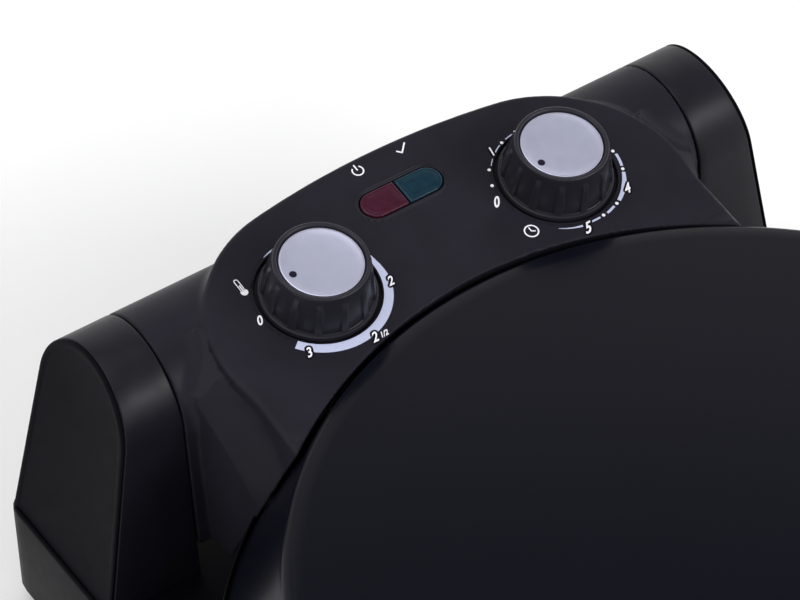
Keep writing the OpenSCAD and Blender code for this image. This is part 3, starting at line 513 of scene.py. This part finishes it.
def ear_skin(steps, side):
    """Carries the outline across the ear, one step (inset, seam, outer) at a time. The first and the last
    step close on a line up the middle."""
    rows = []
    for inset, seam, outer in steps:
        y, z = ear_loop(inset).T
        rows.append(np.stack([side * ear_x(z, seam, outer), y, z], 1))
    spines = []
    for row, (_, seam, outer) in ((rows[0], steps[0]), (rows[-1], steps[-1])):
        z = np.clip(row[:, 2], SPINE_Z, HINGE_Z)
        spines.append(np.stack([side * ear_x(z, seam, outer), np.full(len(z), HINGE_Y), z], 1))
    return rows_of(np.stack([spines[0], *rows, spines[1]]), close_columns=True)


def round_over(r, flip, n=4):
    """Insets and setbacks of a quarter round of radius r, in order along the skin."""
    a = np.radians(np.linspace(0, 90, n + 1))
    pairs = np.stack([r * (1 - np.sin(a)), r * (1 - np.cos(a))], 1)
    return pairs[::-1] if flip else pairs


black_ear = finish("black_ear", (0.0078, 0.0072, 0.0115), 0.38, grain=0.02, grain_scale=2600, mottle=0.12,
                   Specular_IOR_Level=0.14)
# The cover is the ear's own grained plastic, made darker and duller than the body: painted shade on the ear's
# outer side.
shaded_ear_cover = finish("black_ear_cover_painted_shade", (0.0032, 0.003, 0.005), 0.5, grain=0.02, grain_scale=2600, mottle=0.12,
                   Specular_IOR_Level=0.025)
seam_edge = [(inset, back, None) for inset, back in round_over(0.8, False)]
outer_edge = [(inset, None, -back) for inset, back in round_over(0.6, True)]
body_steps = [(3.0, 0, None), *seam_edge, (0, 4, None), (0, None, -6), *outer_edge, (2.0, None, 0)]
rim_in = [(inset + 0.35, None, 0.05 + back) for inset, back in round_over(0.35, False)]
rim_out = [(inset, None, 1.45 - back) for inset, back in round_over(0.7, True)]
cover_steps = [(3.0, None, 0.05), *rim_in, *rim_out, (2.2, None, 1.45), (2.6, None, 1.2), (3.2, None, 1.1)]
for side, hand in ((-1, "left"), (1, "right")):
    piece("ear_" + hand + "_body", [ear_skin(body_steps, side)], black_ear, "base",
          ["ear_" + hand], sharp=46)
    piece("ear_" + hand + "_cover", [ear_skin(cover_steps, side)], shaded_ear_cover, "base",
          ["ear_cap_" + hand], sharp=46)

# ---- Lid ---------------------------------------
# A drawn steel dome, painted satin black, with a slightly crowned top, a rounded shoulder and a leaning
# side. A dark ring closes its lower edge, and a bright reflector lies inside.
SHOULDER_R, EDGE_R, CROWN_RISE = 147.2, 4.0, 3.9
CROWN_Z, SHEET = RIM_Z + 0.1, 1.3
SIDE_TOP, SIDE_FOOT = 134.6, LID_LOW_Z + 0.3


def crown_line(r, z):
    """A shallow bow over the lid's top: z + rise * (1 - (r / shoulder)^2)."""
    return np.stack([r, z + CROWN_RISE * (1 - (r / SHOULDER_R) ** 2)], 1)


def around_dome(skin):
    """Moves a lathed skin from the origin to the lid's own axis."""
    points, faces = skin
    return points + [0, DOME_Y, 0], faces


crown = np.linspace(0, SHOULDER_R, 40)
down = np.linspace(0.03, 0.985, 10)
lean_side = np.stack([LID_TOP_R + (LID_LOW_R - LID_TOP_R) * down,
                      SIDE_TOP + (SIDE_FOOT - SIDE_TOP) * down], 1)
outer = np.concatenate([crown_line(crown, CROWN_Z), bow(SHOULDER_R, RIM_Z - EDGE_R, EDGE_R, 86, 12, 11),
                        lean_side, [[LID_LOW_R, 86.05], [172.0, 86.0]]])
inner = np.concatenate([[[171.2, 86.0], [171.1, 86.4], [150.3, 132.6], [146.6, 136.3]],
                        crown_line(crown[::-6], CROWN_Z - SHEET)])
black_dome = finish("black_dome", (0.0036, 0.0036, 0.0075), 0.24, grain=0.006, grain_scale=900, mottle=0.04,
                    mottle_scale=14, rough_spread=0.01, Specular_IOR_Level=0.085)
piece("dome", [around_dome(lathe(np.concatenate([outer, inner]), 320, closed=False))], black_dome, "lid",
      ["lid_dome"], sharp=50)
dark_rim = finish("dark_rim", (0.006, 0.006, 0.0085), 0.5, mottle=0.1, grain=0.01, Specular_IOR_Level=0.06)
rim = [[156.6, 85.2], [172.7, 85.15], [173.3, 85.5], [173.4, 88.6], [173.0, 89.1], [172.65, 88.8],
       [172.6, 85.95], [156.7, 85.85]]
piece("lid_ring", [around_dome(lathe(rim, 320))], dark_rim, "lid", ["lid_rim"])

bright_sheet = finish("aluminised_sheet", (0.62, 0.63, 0.64), 0.3, metal=1.0, mottle=0.05, mottle_scale=25,
                      grain=0.01, grain_scale=500, rough_spread=0.1)
# The reflector's inner skin runs out from the middle and down to its flange, and the outer one back.
REFLECTOR_Z, REFLECTOR_BEND, THIN = 124.8, 7.0, 0.8
bend_r = LID_LOW_R - (REFLECTOR_Z - LID_LOW_Z) * LID_SLOPE - 15 - 8
low_z, high_z, bend_z = REFLECTOR_Z, REFLECTOR_Z + THIN, REFLECTOR_Z - REFLECTOR_BEND
reflector = np.concatenate([
    [[0, low_z], [60, low_z], [60.8, low_z - 0.6], [64, low_z - 0.6], [64.8, low_z], [bend_r, low_z]],
    bow(bend_r, bend_z, REFLECTOR_BEND, 86, 18, 6),
    [[155.6, 88.4], [156.6, 86.5], [158.4, 86.0], [168.2, 86.0], [168.2, 86.8], [158.6, 86.8], [157.4, 87.4]],
    bow(bend_r, bend_z, REFLECTOR_BEND + THIN, 18, 86, 6),
    [[64.6, high_z], [60.2, high_z], [0, high_z]]])
piece("upper_reflector", [around_dome(lathe(reflector, 256, closed=False))], bright_sheet, "lid",
      ["lid_reflector"])

# ---- Dials -------------------------------------
# Each dial is a moulded cone with thirteen flat ribs, which run down into a fine ring above the flange.
# A sunk cap of satin aluminium closes its top, with a small dark dot as its pointer.
RIBS, PER_RIB, DOT_FOOT = 13, 30, 15.86
black_knob = finish("black_knob", (0.0165, 0.0162, 0.0225), 0.3, grain=0.008, grain_scale=2200, mottle=0.1,
                    Specular_IOR_Level=0.17)
satin_cap = finish("satin_cap", (0.51, 0.52, 0.66), 0.36, metal=0.9, mottle=0.03, mottle_scale=200,
                   grain=0.012, grain_scale=1500, rough_spread=0.04)
dot_paint = finish("dot_paint", (0.008, 0.006, 0.018), 0.5, mottle=0.1, Specular_IOR_Level=0.1)
# From the bore out over the flange and its fine ring, up the cone, over the rim and down to the cap.
body_line = np.array([
    [5.2, -1.4], [19.9, -1.4], [20.5, -0.9], [20.5, 0.3], [20.35, 0.7], [19.9, 0.95], [19.65, 0.95],
    [19.55, 1.25], [19.3, 1.4], [19.05, 1.35], [18.5, 1.45], [18.48, 1.9], [18.7, 2.1], [18.3, 5.0],
    [17.7, 9.2], [17.2, 12.6], [17.05, 13.6], [16.98, 14.1], [16.8, 15.2], [16.66, 16.2], [16.5, 16.6],
    [16.2, 16.85], [15.9, 16.9], [15.5, 16.85], [15.2, 16.6], [15.0, 16.2], [14.8, 15.4], [5.2, 15.4]])
cap_line = [[0, 15.72], [6, 15.76], [11, 15.9], [13.6, 16.05], [14.1, 16.15], [14.4, 16.0], [14.4, 14.9],
            [0, 14.9]]
dot_line = [[0, 0.28], [1.05, 0.28], [1.28, 0.2], [1.32, 0.0], [0, 0.0]]


def knob_skin():
    """The cone's radius plus that of the ribs: each is widest and highest at its foot, and its sides are
    smooth steps 0.4 mm wide across the distance from its middle."""
    turns = np.linspace(0, 2 * math.pi, RIBS * PER_RIB, endpoint=False)
    across = (np.mod(turns * RIBS / (2 * math.pi), 1) - 0.5) * 2 * math.pi / RIBS
    r, z = body_line[:, :1], body_line[:, 1]
    wide = np.interp(z, [1, 14], [1.45, 1.05])
    high = np.interp(z, [1.4, 1.45, 2.1, 5, 13.0, 13.7], [0, 1.15, 0.95, 0.85, 0.55, 0])
    high *= (r[:, 0] > 16.9) & (r[:, 0] < 19.0)
    r = r + high[:, None] * ease((wide[:, None] + 0.2 - np.abs(across * 18)) / 0.4)
    grid = np.stack([r * np.cos(turns), r * np.sin(turns), np.repeat(z[:, None], len(turns), 1)], -1)
    return rows_of(grid, close_rows=True, close_columns=True)


for dial, centre, spot in (("temp", -DIAL_X, (-11.1, 0.6)), ("timer", DIAL_X, (-10.9, -2.9))):
    piece(dial + "_dial", [laid(knob_skin(), centre)], black_knob, dial + "_dial",
          [dial + "_knob"], sharp=38)
    piece(dial + "_dial_cap", [laid(lathe(cap_line, 128, closed=False), centre)], satin_cap, dial + "_dial",
          [dial + "_cap"])
    points, faces = lathe(dot_line, 32, closed=False)
    piece(dial + "_dial_dot", [laid((points + [*spot, DOT_FOOT], faces), centre)], dot_paint,
          dial + "_dial")

# ---- Lamp window -------------------------------
# Two moulded lenses, red and green, lie side by side in one long round-ended bezel. Each lens has a
# border round a sunk flat field, and dark gaps part them from each other and from the bezel.
LENS_R, PARTING = 5.4, 0.35


def lamp_frame():
    """Round-ended loops about the lamps, up inside the bezel, over its lip and down outside."""
    rows = []
    for r, z in ((5.9, -3.2), (5.9, -0.65), (6.0, -0.48), (6.4, -0.27), (6.9, -0.05), (7.2, 0.05),
                 (7.4, 0.07), (7.45, -0.2), (6.9, -3.2)):
        right = bow(LAMP_HALF, 0, r, -90, 90, 18)
        rows.append(np.insert(np.concatenate([right, -right]), 2, z, 1))
    return rows_of(np.stack(rows) + [LAMP_X, LAMP_Y, 0], close_rows=True, close_columns=True)


def lens_loop(side, inset):
    """Half of the window, from the parting line to its round end, moved inward by 'inset'."""
    r, edge = LENS_R - inset, PARTING + inset
    top = np.stack([np.linspace(edge, LAMP_HALF, 9)[:-1], np.full(8, r)], 1)
    up = np.stack([np.full(7, edge), np.linspace(-r, r, 9)[1:-1]], 1)
    return np.concatenate([top, bow(LAMP_HALF, 0, r, 90, -90, 16), top[::-1] * [1, -1], up]) * [side, 1]


def lens_skin(side):
    """Steps up the rim, over a rounded edge, in across a border and down a soft step to the sunk field."""
    steps = [(0, -3.0), (0, -0.5), (0.08, -0.3), (0.25, -0.17), (0.6, -0.1), (1.3, -0.1), (1.7, -0.16),
             (2.1, -0.21), (2.9, -0.22), (3.9, -0.22), (4.9, -0.22)]
    rows = np.stack([np.insert(lens_loop(side, inset), 2, z, 1) for inset, z in steps])
    middles = rows[[0, -1]]
    middles[..., :2] = middles[..., :2].mean(1, keepdims=True)
    skin = np.concatenate([middles[:1], rows, middles[1:]])
    return rows_of(skin + [LAMP_X, LAMP_Y, 0], close_columns=True)


piece("lamp_frame", [laid(lamp_frame())], black_panel, "lid", ["lamp_bezel"])
for side, colour, tone in ((-1, "red", (0.043, 0.0065, 0.018)), (1, "green", (0.0045, 0.022, 0.036))):
    glass = finish(colour + "_glass", tone, 0.16, mottle=0.15, mottle_scale=500, grain=0.006, grain_scale=900,
                   Specular_IOR_Level=0.2)
    piece(colour + "_lamp", [laid(lens_skin(side))], glass, "lid", [colour + "_lens"])

# ---- Printing ----------------------------------
# White ink on the panel: a band that widens round the temperature dial, dots and dashes round the timer,
# slanted numbers, and four plain signs for heat, time, power and ready. It lies 0.1 to 0.15 mm proud.
INK, NUMBER_INK, SURROUND_INK, SURROUND = 0.1, 0.15, 0.125, 0.75
TEMP, TIMER = -DIAL_X, DIAL_X
POWER_X, POWER_Y, HEAT_X, HEAT_Y, CLOCK_X, CLOCK_Y = -8.9, 36.2, -21.6, 12.2, -22.4, -16.2
white_ink = finish("white_ink", (0.8, 0.8, 0.86), 0.5, mottle=0.03, mottle_scale=900)
lilac_ink = finish("lilac_ink", (0.47, 0.5, 0.68), 0.5, mottle=0.03, mottle_scale=900)


def ink_band(centre, degrees, inner, outer, n=40, middle=(0, 0)):
    """A flat strip along an arc about 'middle': its two radii are interpolated over the angles."""
    a = np.linspace(degrees[0], degrees[-1], n)
    order = np.argsort(degrees)
    near, far = (np.interp(a, np.array(degrees)[order], np.array(r, float)[order]) for r in (inner, outer))
    a = np.radians(a)
    rows = [np.stack([r * np.cos(a), r * np.sin(a), np.full(n, h)], 1)
            for r, h in ((near, 0.0), (far, 0.0), (far, INK), (near, INK))]
    points, faces = rows_of(np.stack(rows, 1), close_columns=True)
    last = len(points)
    ends = np.array([[0, 1, 2, 3], [last - 4, last - 1, last - 2, last - 3]])
    return laid((points + [*middle, 0], np.concatenate([faces, ends])), centre)


def ink_plate(loop, centre):
    """A flat sign with the given outline, fanned from its middle."""
    loop = np.asarray(loop, float)
    mid = np.repeat(loop.mean(0)[None], len(loop), 0)
    rows = [np.insert(ring, 2, h, 1) for ring, h in ((mid, 0.0), (loop, 0.0), (loop, INK), (mid, INK))]
    return laid(rows_of(np.stack(rows), close_columns=True), centre)


def ink_dot(degrees, away, centre, r=0.62):
    """A round dot of radius r, 'away' from the dial's middle in the given direction."""
    a = np.linspace(0, 2 * math.pi, 24, endpoint=False)
    x, y = away * math.cos(math.radians(degrees)), away * math.sin(math.radians(degrees))
    return ink_plate(np.stack([x + r * np.cos(a), y + r * np.sin(a)], 1), centre)


def ink_bar(x0, y0, x1, y1, w, centre):
    """A straight stroke of width w with square ends."""
    along = np.array([x1 - x0, y1 - y0])
    along = along / np.linalg.norm(along)
    off = np.array([-along[1], along[0]]) * w / 2
    return ink_plate([(x0, y0) - off, (x1, y1) - off, (x1, y1) + off, (x0, y0) + off], centre)


def ink_number(text, x, y, tall, centre, slant, height=NUMBER_INK):
    """A number of the given height and slant about (x, y), made a mesh before it is laid on the panel. It
    is narrowed to 0.84 of its own width."""
    curve = bpy.data.curves.new("number", "FONT")
    curve.body, curve.shear, curve.extrude, curve.resolution_u, curve.offset = text, slant, 0.05, 5, 0.02
    holder = bpy.data.objects.new("number", curve)
    bpy.context.scene.collection.objects.link(holder)
    mesh = bpy.data.meshes.new_from_object(holder)
    points = np.empty(len(mesh.vertices) * 3)
    mesh.vertices.foreach_get("co", points)
    points = points.reshape(-1, 3)
    faces = np.array([list(p.vertices) for p in mesh.polygons], dtype=object)
    bpy.data.objects.remove(holder)
    bpy.data.meshes.remove(mesh)
    low, high = points.min(0), points.max(0)
    scale = tall / (high[1] - low[1])
    flat = (points[:, :2] - (low[:2] + high[:2]) / 2) * scale * [0.84, 1] + [x, y]
    return laid((np.insert(flat, 2, np.where(points[:, 2] > 0, height, 0.0), 1), faces), centre)


# Each number has its text, its place on its dial's own x and y, its height and its slant.
numbers = [("0", -23.6, -0.3, 3.7, TEMP, 0.5), ("2", 23.4, -9.0, 3.7, TEMP, 0.5),
           ("2", 5.4, -25.7, 3.9, TEMP, 0.5), ("1/2", 9.1, -26.1, 2.2, TEMP, 0.5),
           ("3", -16.9, -19.7, 3.8, TEMP, 0.5), ("0", -25.2, 0.3, 4.2, TIMER, 0.75),
           ("1", -13.6, 19.5, 3.8, TIMER, 0.2), ("4", 18.1, -18.0, 4.0, TIMER, 0.65),
           ("5", -4.4, -25.0, 4.4, TIMER, 0.75)]
marks = [ink_number(*entry) for entry in numbers]
bands = [ink_band(TEMP, [110.6, 97, 60, 20, 1, -10, -18, -30, -60, -100, -141.5], [22.5] + [22.3] * 10,
                  [22.7, 23.0, 23.3, 23.9, 24.3, 24.9, 25.3, 25.5, 25.6, 25.7, 25.6], 200)]
# Round the timer: dots by direction and distance, dashes by their two ends, middle and half width.
marks += [ink_dot(d, r, TIMER) for d, r in ((162.7, 23.5), (145.4, 23.3), (111.3, 22.5), (93.0, 22.6),
                                            (-4.9, 23.6), (-25.2, 24.0), (-63.9, 24.0), (-81.7, 23.6))]
bands += [ink_band(TIMER, [d0, d1], [r - w] * 2, [r + w] * 2, 12)
          for d0, d1, r, w in ((140.7, 132.4, 22.6, 0.16), (127.2, 114.8, 22.5, 0.22),
                               (106.0, 97.0, 22.4, 0.22), (-8.4, -22.0, 24.0, 0.5),
                               (-67.7, -77.5, 23.8, 0.45), (-85.5, -95.0, 23.6, 0.35))]
bands += [ink_band(TIMER, [-28.5, -42, -60], [23.4, 23.2, 23.4], [24.6, 24.9, 24.7], 40),
          ink_band(TIMER, [-103.5, -112, -124], [23.7, 24.0, 24.2], [24.5, 24.5, 24.35], 24)]
# Signs: power (a broken ring and a stroke), ready (a tick), heat (a thermometer), time (a clock face).
marks += [ink_band(0, [130, 410], [1.75, 1.75], [2.25, 2.25], 60, (POWER_X, POWER_Y)),
          ink_bar(POWER_X, POWER_Y + 0.2, POWER_X, POWER_Y + 2.8, 0.5, 0)]
marks += [ink_bar(7.6, 36.6, 9.2, 34.9, 0.55, 0), ink_bar(8.95, 34.95, 12.3, 38.4, 0.55, 0)]
marks += [ink_band(TEMP, [115, 425], [0.0, 0.0], [1.35, 1.35], 40, (HEAT_X, HEAT_Y)),
          ink_band(TEMP, [-10, 190], [0.5, 0.5], [0.85, 0.85], 24, (HEAT_X, HEAT_Y + 5.2))]
marks += [ink_bar(HEAT_X + x, HEAT_Y + y0, HEAT_X + x, HEAT_Y + y1, w, TEMP)
          for x, y0, y1, w in ((-0.7, 0.4, 5.3, 0.35), (0.7, 0.4, 5.3, 0.35), (0, 0.2, 3.2, 0.5))]
marks += [ink_band(TIMER, [0, 360], [2.2, 2.2], [2.7, 2.7], 60, (CLOCK_X, CLOCK_Y)),
          ink_bar(CLOCK_X, CLOCK_Y, CLOCK_X, CLOCK_Y + 1.8, 0.45, TIMER),
          ink_bar(CLOCK_X - 0.1, CLOCK_Y + 0.1, CLOCK_X + 1.3, CLOCK_Y - 0.7, 0.45, TIMER)]
piece("panel_marks", marks, white_ink, "lid", sharp=30)
piece("panel_bands", bands, lilac_ink, "lid", sharp=30)
# A dark border parts the numbers from the bands they cross: each is laid in twelve places round its own,
# just below it.
surrounds = [ink_number(text, x + SURROUND * math.cos(a), y + SURROUND * math.sin(a), tall, centre, slant,
                        SURROUND_INK)
             for text, x, y, tall, centre, slant in numbers if text not in ("0", "1/2")
             for a in np.radians(np.arange(0, 360, 30))]
piece("number_surrounds", surrounds, black_panel, "lid", sharp=30)

# ---- Base shell --------------------------------
# One black moulding: a round tub with a block behind it, whose low deck carries the ears. All corners
# are rounded and the hollow underneath is closed by a flat cover on five screws.
BASE_R, BLOCK_HALF, BLOCK_MID, BLOCK_END, BLOCK_CORNER = 172.0, 148.2, 120.0, 218.95, 8.0
SKIRT_Z, INSIDE_Z, DECK_Z = 9.0, 48.5, 51.0


def base_edge(angle):
    """How far the outline lies from the tub's centre in each direction: a circle joined by a fillet of
    12 mm to a box with rounded corners, found by halving the interval where their field changes sign."""
    near, far = np.full(angle.shape, 165.0), np.full(angle.shape, 330.0)
    for _ in range(30):
        r = (near + far) / 2
        x, y = r * np.cos(angle), DOME_Y + r * np.sin(angle)
        qx = np.abs(x) - BLOCK_HALF + BLOCK_CORNER
        qy = np.abs(y - BLOCK_MID) - (BLOCK_END - BLOCK_MID) + BLOCK_CORNER
        box = np.hypot(np.maximum(qx, 0), np.maximum(qy, 0)) + np.minimum(np.maximum(qx, qy), 0)
        inside = join_round(r - BASE_R, box - BLOCK_CORNER, 12) < 0
        near, far = np.where(inside, r, near), np.where(inside, far, r)
    return near


def base_skin(count):
    """The profile in each direction: up the skirt, over the deck's edge, in to the tub, up its wall, over
    its rim and down inside. The edges shrink to nothing where the deck does."""
    angle = np.linspace(0, 2 * math.pi, count, endpoint=False)
    edge = base_edge(angle)
    deck = np.maximum(edge - BASE_R, 0)
    r1, r2 = np.minimum(1.2, deck * 0.4), np.minimum(2.5, deck * 0.4)
    bend = np.radians(np.linspace(0, 90, 5))[:, None]
    flat = np.ones(count)
    rows = [(edge - 2.5, SKIRT_Z * flat), (edge - 0.8, SKIRT_Z * flat), (edge - 0.2, (SKIRT_Z + 0.2) * flat),
            (edge, (SKIRT_Z + 0.9) * flat)]
    rows += list(zip(edge - r1 + r1 * np.cos(bend), DECK_Z - r1 + r1 * np.sin(bend)))
    rows += list(zip(BASE_R + r2 - r2 * np.sin(bend), DECK_Z + r2 - r2 * np.cos(bend)))
    rows += [(r * flat, z * flat)
             for r, z in ((BASE_R, 80.4), (171.7, 81.1), (171.0, 81.4), (161.0, 81.4), (160.3, 81.0),
                          (160.3, 78.9), (169.5, 78.9), (169.5, INSIDE_Z))]
    rows += [(edge - 2.5, INSIDE_Z * flat)]
    r, z = (np.stack([row[k] for row in rows]) for k in (0, 1))
    return rows_of(np.stack([r * np.cos(angle), DOME_Y + r * np.sin(angle), z], -1), True, True)


# Its black is darker than the plastic's own tone: painted shade under the lid, the housing and the wings.
black_base_painted_shade = finish("black_base_painted_shade", (0.0022, 0.002, 0.0036), 0.42, grain=0.03, grain_scale=2200, mottle=0.12,
                    Specular_IOR_Level=0.045)
piece("base_body", [base_skin(720)], black_base_painted_shade, "base", ["base_shell"], sharp=46)
ring = [[159.4, 82.2], [172.2, 82.2], [172.2, 78.3], [172.9, 78.3], [172.95, 83.2], [172.3, 83.95],
        [160.2, 84.0], [159.4, 83.4]]
piece("base_ring", [around_dome(lathe(ring, 320))], dark_rim, "base", ["base_trim"])
bowl = np.concatenate([
    [[0, 44.0], [151, 44.0]],
    bow(151.5, 50.5, 6.5, -90, 0, 6),
    [[158.2, 80.6], [159.2, 81.4], [166.8, 81.4], [166.8, 82.2], [158.4, 82.2], [157.5, 81.2]],
    bow(151.5, 50.5, 5.8, 0, -90, 6),
    [[120, 44.8], [118, 45.6], [112, 45.6], [110, 44.8], [0, 44.8]]])
piece("lower_reflector", [around_dome(lathe(bowl, 256, closed=False))], bright_sheet, "base",
      ["base_bowl"])

# ---- Baking stone ------------------------------
# A round slab of fired refractory clay, open-grained, with softly worn edges.
fired_clay = finish("fired_clay", (0.56, 0.41, 0.26), 0.85, mottle=0.16, mottle_scale=150, grain=0.25,
                    grain_scale=420, Specular_IOR_Level=0.25)
STONE_R, WORN = 154.9, 2.5
foot_z, top_z = (corner[2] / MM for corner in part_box("stone"))
foot_z, top_z = foot_z + 0.1, top_z - 0.1
slab = np.concatenate([[[0, top_z], [80, top_z + 0.05], [140, top_z]],
                       bow(STONE_R - WORN, top_z - WORN, WORN, 88, 0, 5),
                       bow(STONE_R - WORN, foot_z + WORN, WORN, 0, -90, 5), [[0, foot_z]]])
piece("baking_stone", [around_dome(lathe(slab, 256, closed=False))], fired_clay, "base", ["stone"])

# ---- Heating tubes -----------------------------
# Sheathed tubes bent to one round loop, with two legs that pass side by side through the rear wall.
LEG_X, BEND_R, TUBE_R, AROUND = 14.0, 12.0, 3.22, 20
sheath = finish("oxidised_sheath", (0.075, 0.068, 0.062), 0.48, metal=0.7, mottle=0.25, mottle_scale=90,
                grain=0.03, grain_scale=1500, rough_spread=0.1)


def tube_skin(loop_r, z, leg_end):
    """Carries a circle along leg, bend, loop, bend and leg, level with the floor. The middle line is arcs
    and straights that touch each other; the circle stands square to it."""
    meet = math.asin((LEG_X + BEND_R) / (loop_r + BEND_R))
    bend_y = (loop_r + BEND_R) * math.cos(meet)
    bend = bow(LEG_X + BEND_R, bend_y, BEND_R, 180, 270 - math.degrees(meet), 14)
    loop = bow(0, 0, loop_r, 90 - math.degrees(meet), -270 + math.degrees(meet), 200)
    leg = np.stack([np.full(8, LEG_X), np.linspace(leg_end, bend_y, 9)[:-1]], 1)
    line = np.concatenate([leg, bend, loop[1:-1], bend[::-1] * [-1, 1], leg[::-1] * [-1, 1]])
    ahead = np.gradient(line, axis=0)
    ahead /= np.linalg.norm(ahead, axis=1, keepdims=True)
    a = np.linspace(0, 2 * math.pi, AROUND, endpoint=False)
    x = line[:, :1] - ahead[:, 1:] * TUBE_R * np.cos(a)
    y = line[:, 1:] + ahead[:, :1] * TUBE_R * np.cos(a) + DOME_Y
    grid = np.stack([x, y, np.repeat((z + TUBE_R * np.sin(a))[None], len(line), 0)], -1)
    ends = [np.repeat(grid[k].mean(0)[None], AROUND, 0) for k in (0, -1)]
    return rows_of(np.concatenate([ends[:1], grid, ends[1:]]), close_columns=True)


piece("lower_tube", [tube_skin(105, 54.8, 167.4)], sheath, "base", ["lower_element"])
piece("upper_tube", [tube_skin(100, 114.8, 153.0)], sheath, "lid", ["upper_element"])

# ---- Grips -------------------------------------
# Two solid bars of smooth heat-resistant plastic, one over the other at the front. Each blends into two
# short posts that are screwed to the lid or the tub from inside.
GRIP_Y, GRIP_R, GRIP_HALF, POST_X, POST_R, POST_PLAY = -215.45, 9.45, 48.5, 40.0, 6.0, 0.15
LID_GRIP_Z, TUB_GRIP_Z = 112.0, 50.0
black_grip = finish("black_grip", (0.0075, 0.0072, 0.0105), 0.34, grain=0.01, grain_scale=1800, mottle=0.1,
                    Specular_IOR_Level=0.18)


def grip_shape(x, y, z, z_mid):
    """Field of a round-ended bar along x, joined by a fillet of 5 mm to two posts along y."""
    beyond = np.maximum(np.abs(x) - GRIP_HALF, 0)
    bar = np.sqrt(beyond ** 2 + (y - GRIP_Y) ** 2 + (z - z_mid) ** 2) - GRIP_R
    post = np.maximum(np.hypot(np.abs(x) - POST_X, z - z_mid) - POST_R, GRIP_Y - y)
    return join_round(bar, post, 5.0)


def lid_grip_bar(x, y, z):
    """The upper grip, its posts not yet cut."""
    return grip_shape(x, y, z, LID_GRIP_Z)


def off_lid(x, y, z):
    """Field of what stands clear of the lid's cone."""
    return POST_PLAY - lid_distance(x, y, z)


def lid_grip(x, y, z):
    """The upper grip, its posts cut to the lid's cone."""
    return np.maximum(lid_grip_bar(x, y, z), off_lid(x, y, z))


def tub_grip(x, y, z):
    """The lower grip, its posts cut to the tub's wall."""
    return np.maximum(grip_shape(x, y, z, TUB_GRIP_Z), BASE_R + POST_PLAY - np.hypot(x, y - DOME_Y))


lid_bar = zero_surface(lid_grip, (-60, -227, 100), (60, -158, 124), 1.3, [(lid_grip_bar, off_lid)])
tub_bar = zero_surface(tub_grip, (-60, -227, 38), (60, -170, 62), 1.3)
piece("lid_handle", [lid_bar], black_grip, "lid", ["handle_grip", "handle_posts"],
      field=lid_grip)
piece("base_handle", [tub_bar], black_grip, "base", ["base_grip"], field=tub_grip)

# ---- Pieces kept from the model ----------------
# The small and inner pieces keep their solids and get the finish of the real metal, clay or rubber; the lid's
# straps instead get the dark cover plastic, as painted shade in the gap behind the housing.
plated = finish("zinc_plate", (0.5, 0.51, 0.52), 0.32, metal=1.0, mottle=0.08, mottle_scale=160, grain=0.004,
                grain_scale=2000, rough_spread=0.1)
turned = finish("turned_steel", (0.56, 0.56, 0.58), 0.24, metal=1.0, mottle=0.04, grain=0.004,
                grain_scale=900, stretch=(12, 1, 1))
porcelain = finish("unglazed_ceramic", (0.72, 0.7, 0.64), 0.65, mottle=0.05, grain=0.03, grain_scale=900)
soft_rubber = finish("foot_rubber", (0.012, 0.012, 0.013), 0.75, mottle=0.15, grain=0.03, grain_scale=1500)
grey_moulding = finish("timer_case", (0.055, 0.055, 0.06), 0.5, mottle=0.08, grain=0.01)
bronze = finish("sintered_bronze", (0.5, 0.3, 0.12), 0.42, metal=1.0, mottle=0.1, grain=0.02,
                grain_scale=2500)
lamp_glass = finish("lamp_glass", (0.75, 0.7, 0.62), 0.15, mottle=0.04, Transmission_Weight=0.3)
# The base's under cover in its own dark plastic. The lid's straps get it too, as painted shade in the gap
# behind the housing.
under_cover_and_gap_shade = finish("under_cover_and_gap_shade", (0.016, 0.016, 0.018), 0.5, mottle=0.1, grain=0.02, grain_scale=2000)
for mat, names in ((plated, ("stone_brackets", "lower_clips", "heat_shield", "shield_pillars",
                             "base_grip_screws", "cover_screws", "upper_clips", "housing_screws",
                             "control_bracket", "handle_screws")),
                   (turned, ("hinge_pin_left", "hinge_pin_right", "temp_shaft", "timer_shaft")),
                   (porcelain, ("lower_terminals", "upper_terminals", "terminal_block", "thermal_fuse",
                                "thermostat_body")),
                   (soft_rubber, ("feet", "cord_bush")), (grey_moulding, ("timer_body",)),
                   (bronze, ("hinge_bush_left", "hinge_bush_right")), (lamp_glass, ("neon_lamps",)),
                   (under_cover_and_gap_shade, ("base_cover", "lid_brackets"))):
    for name in names:
        slots = nodes[name].data.materials
        slots.clear()
        slots.append(mat)
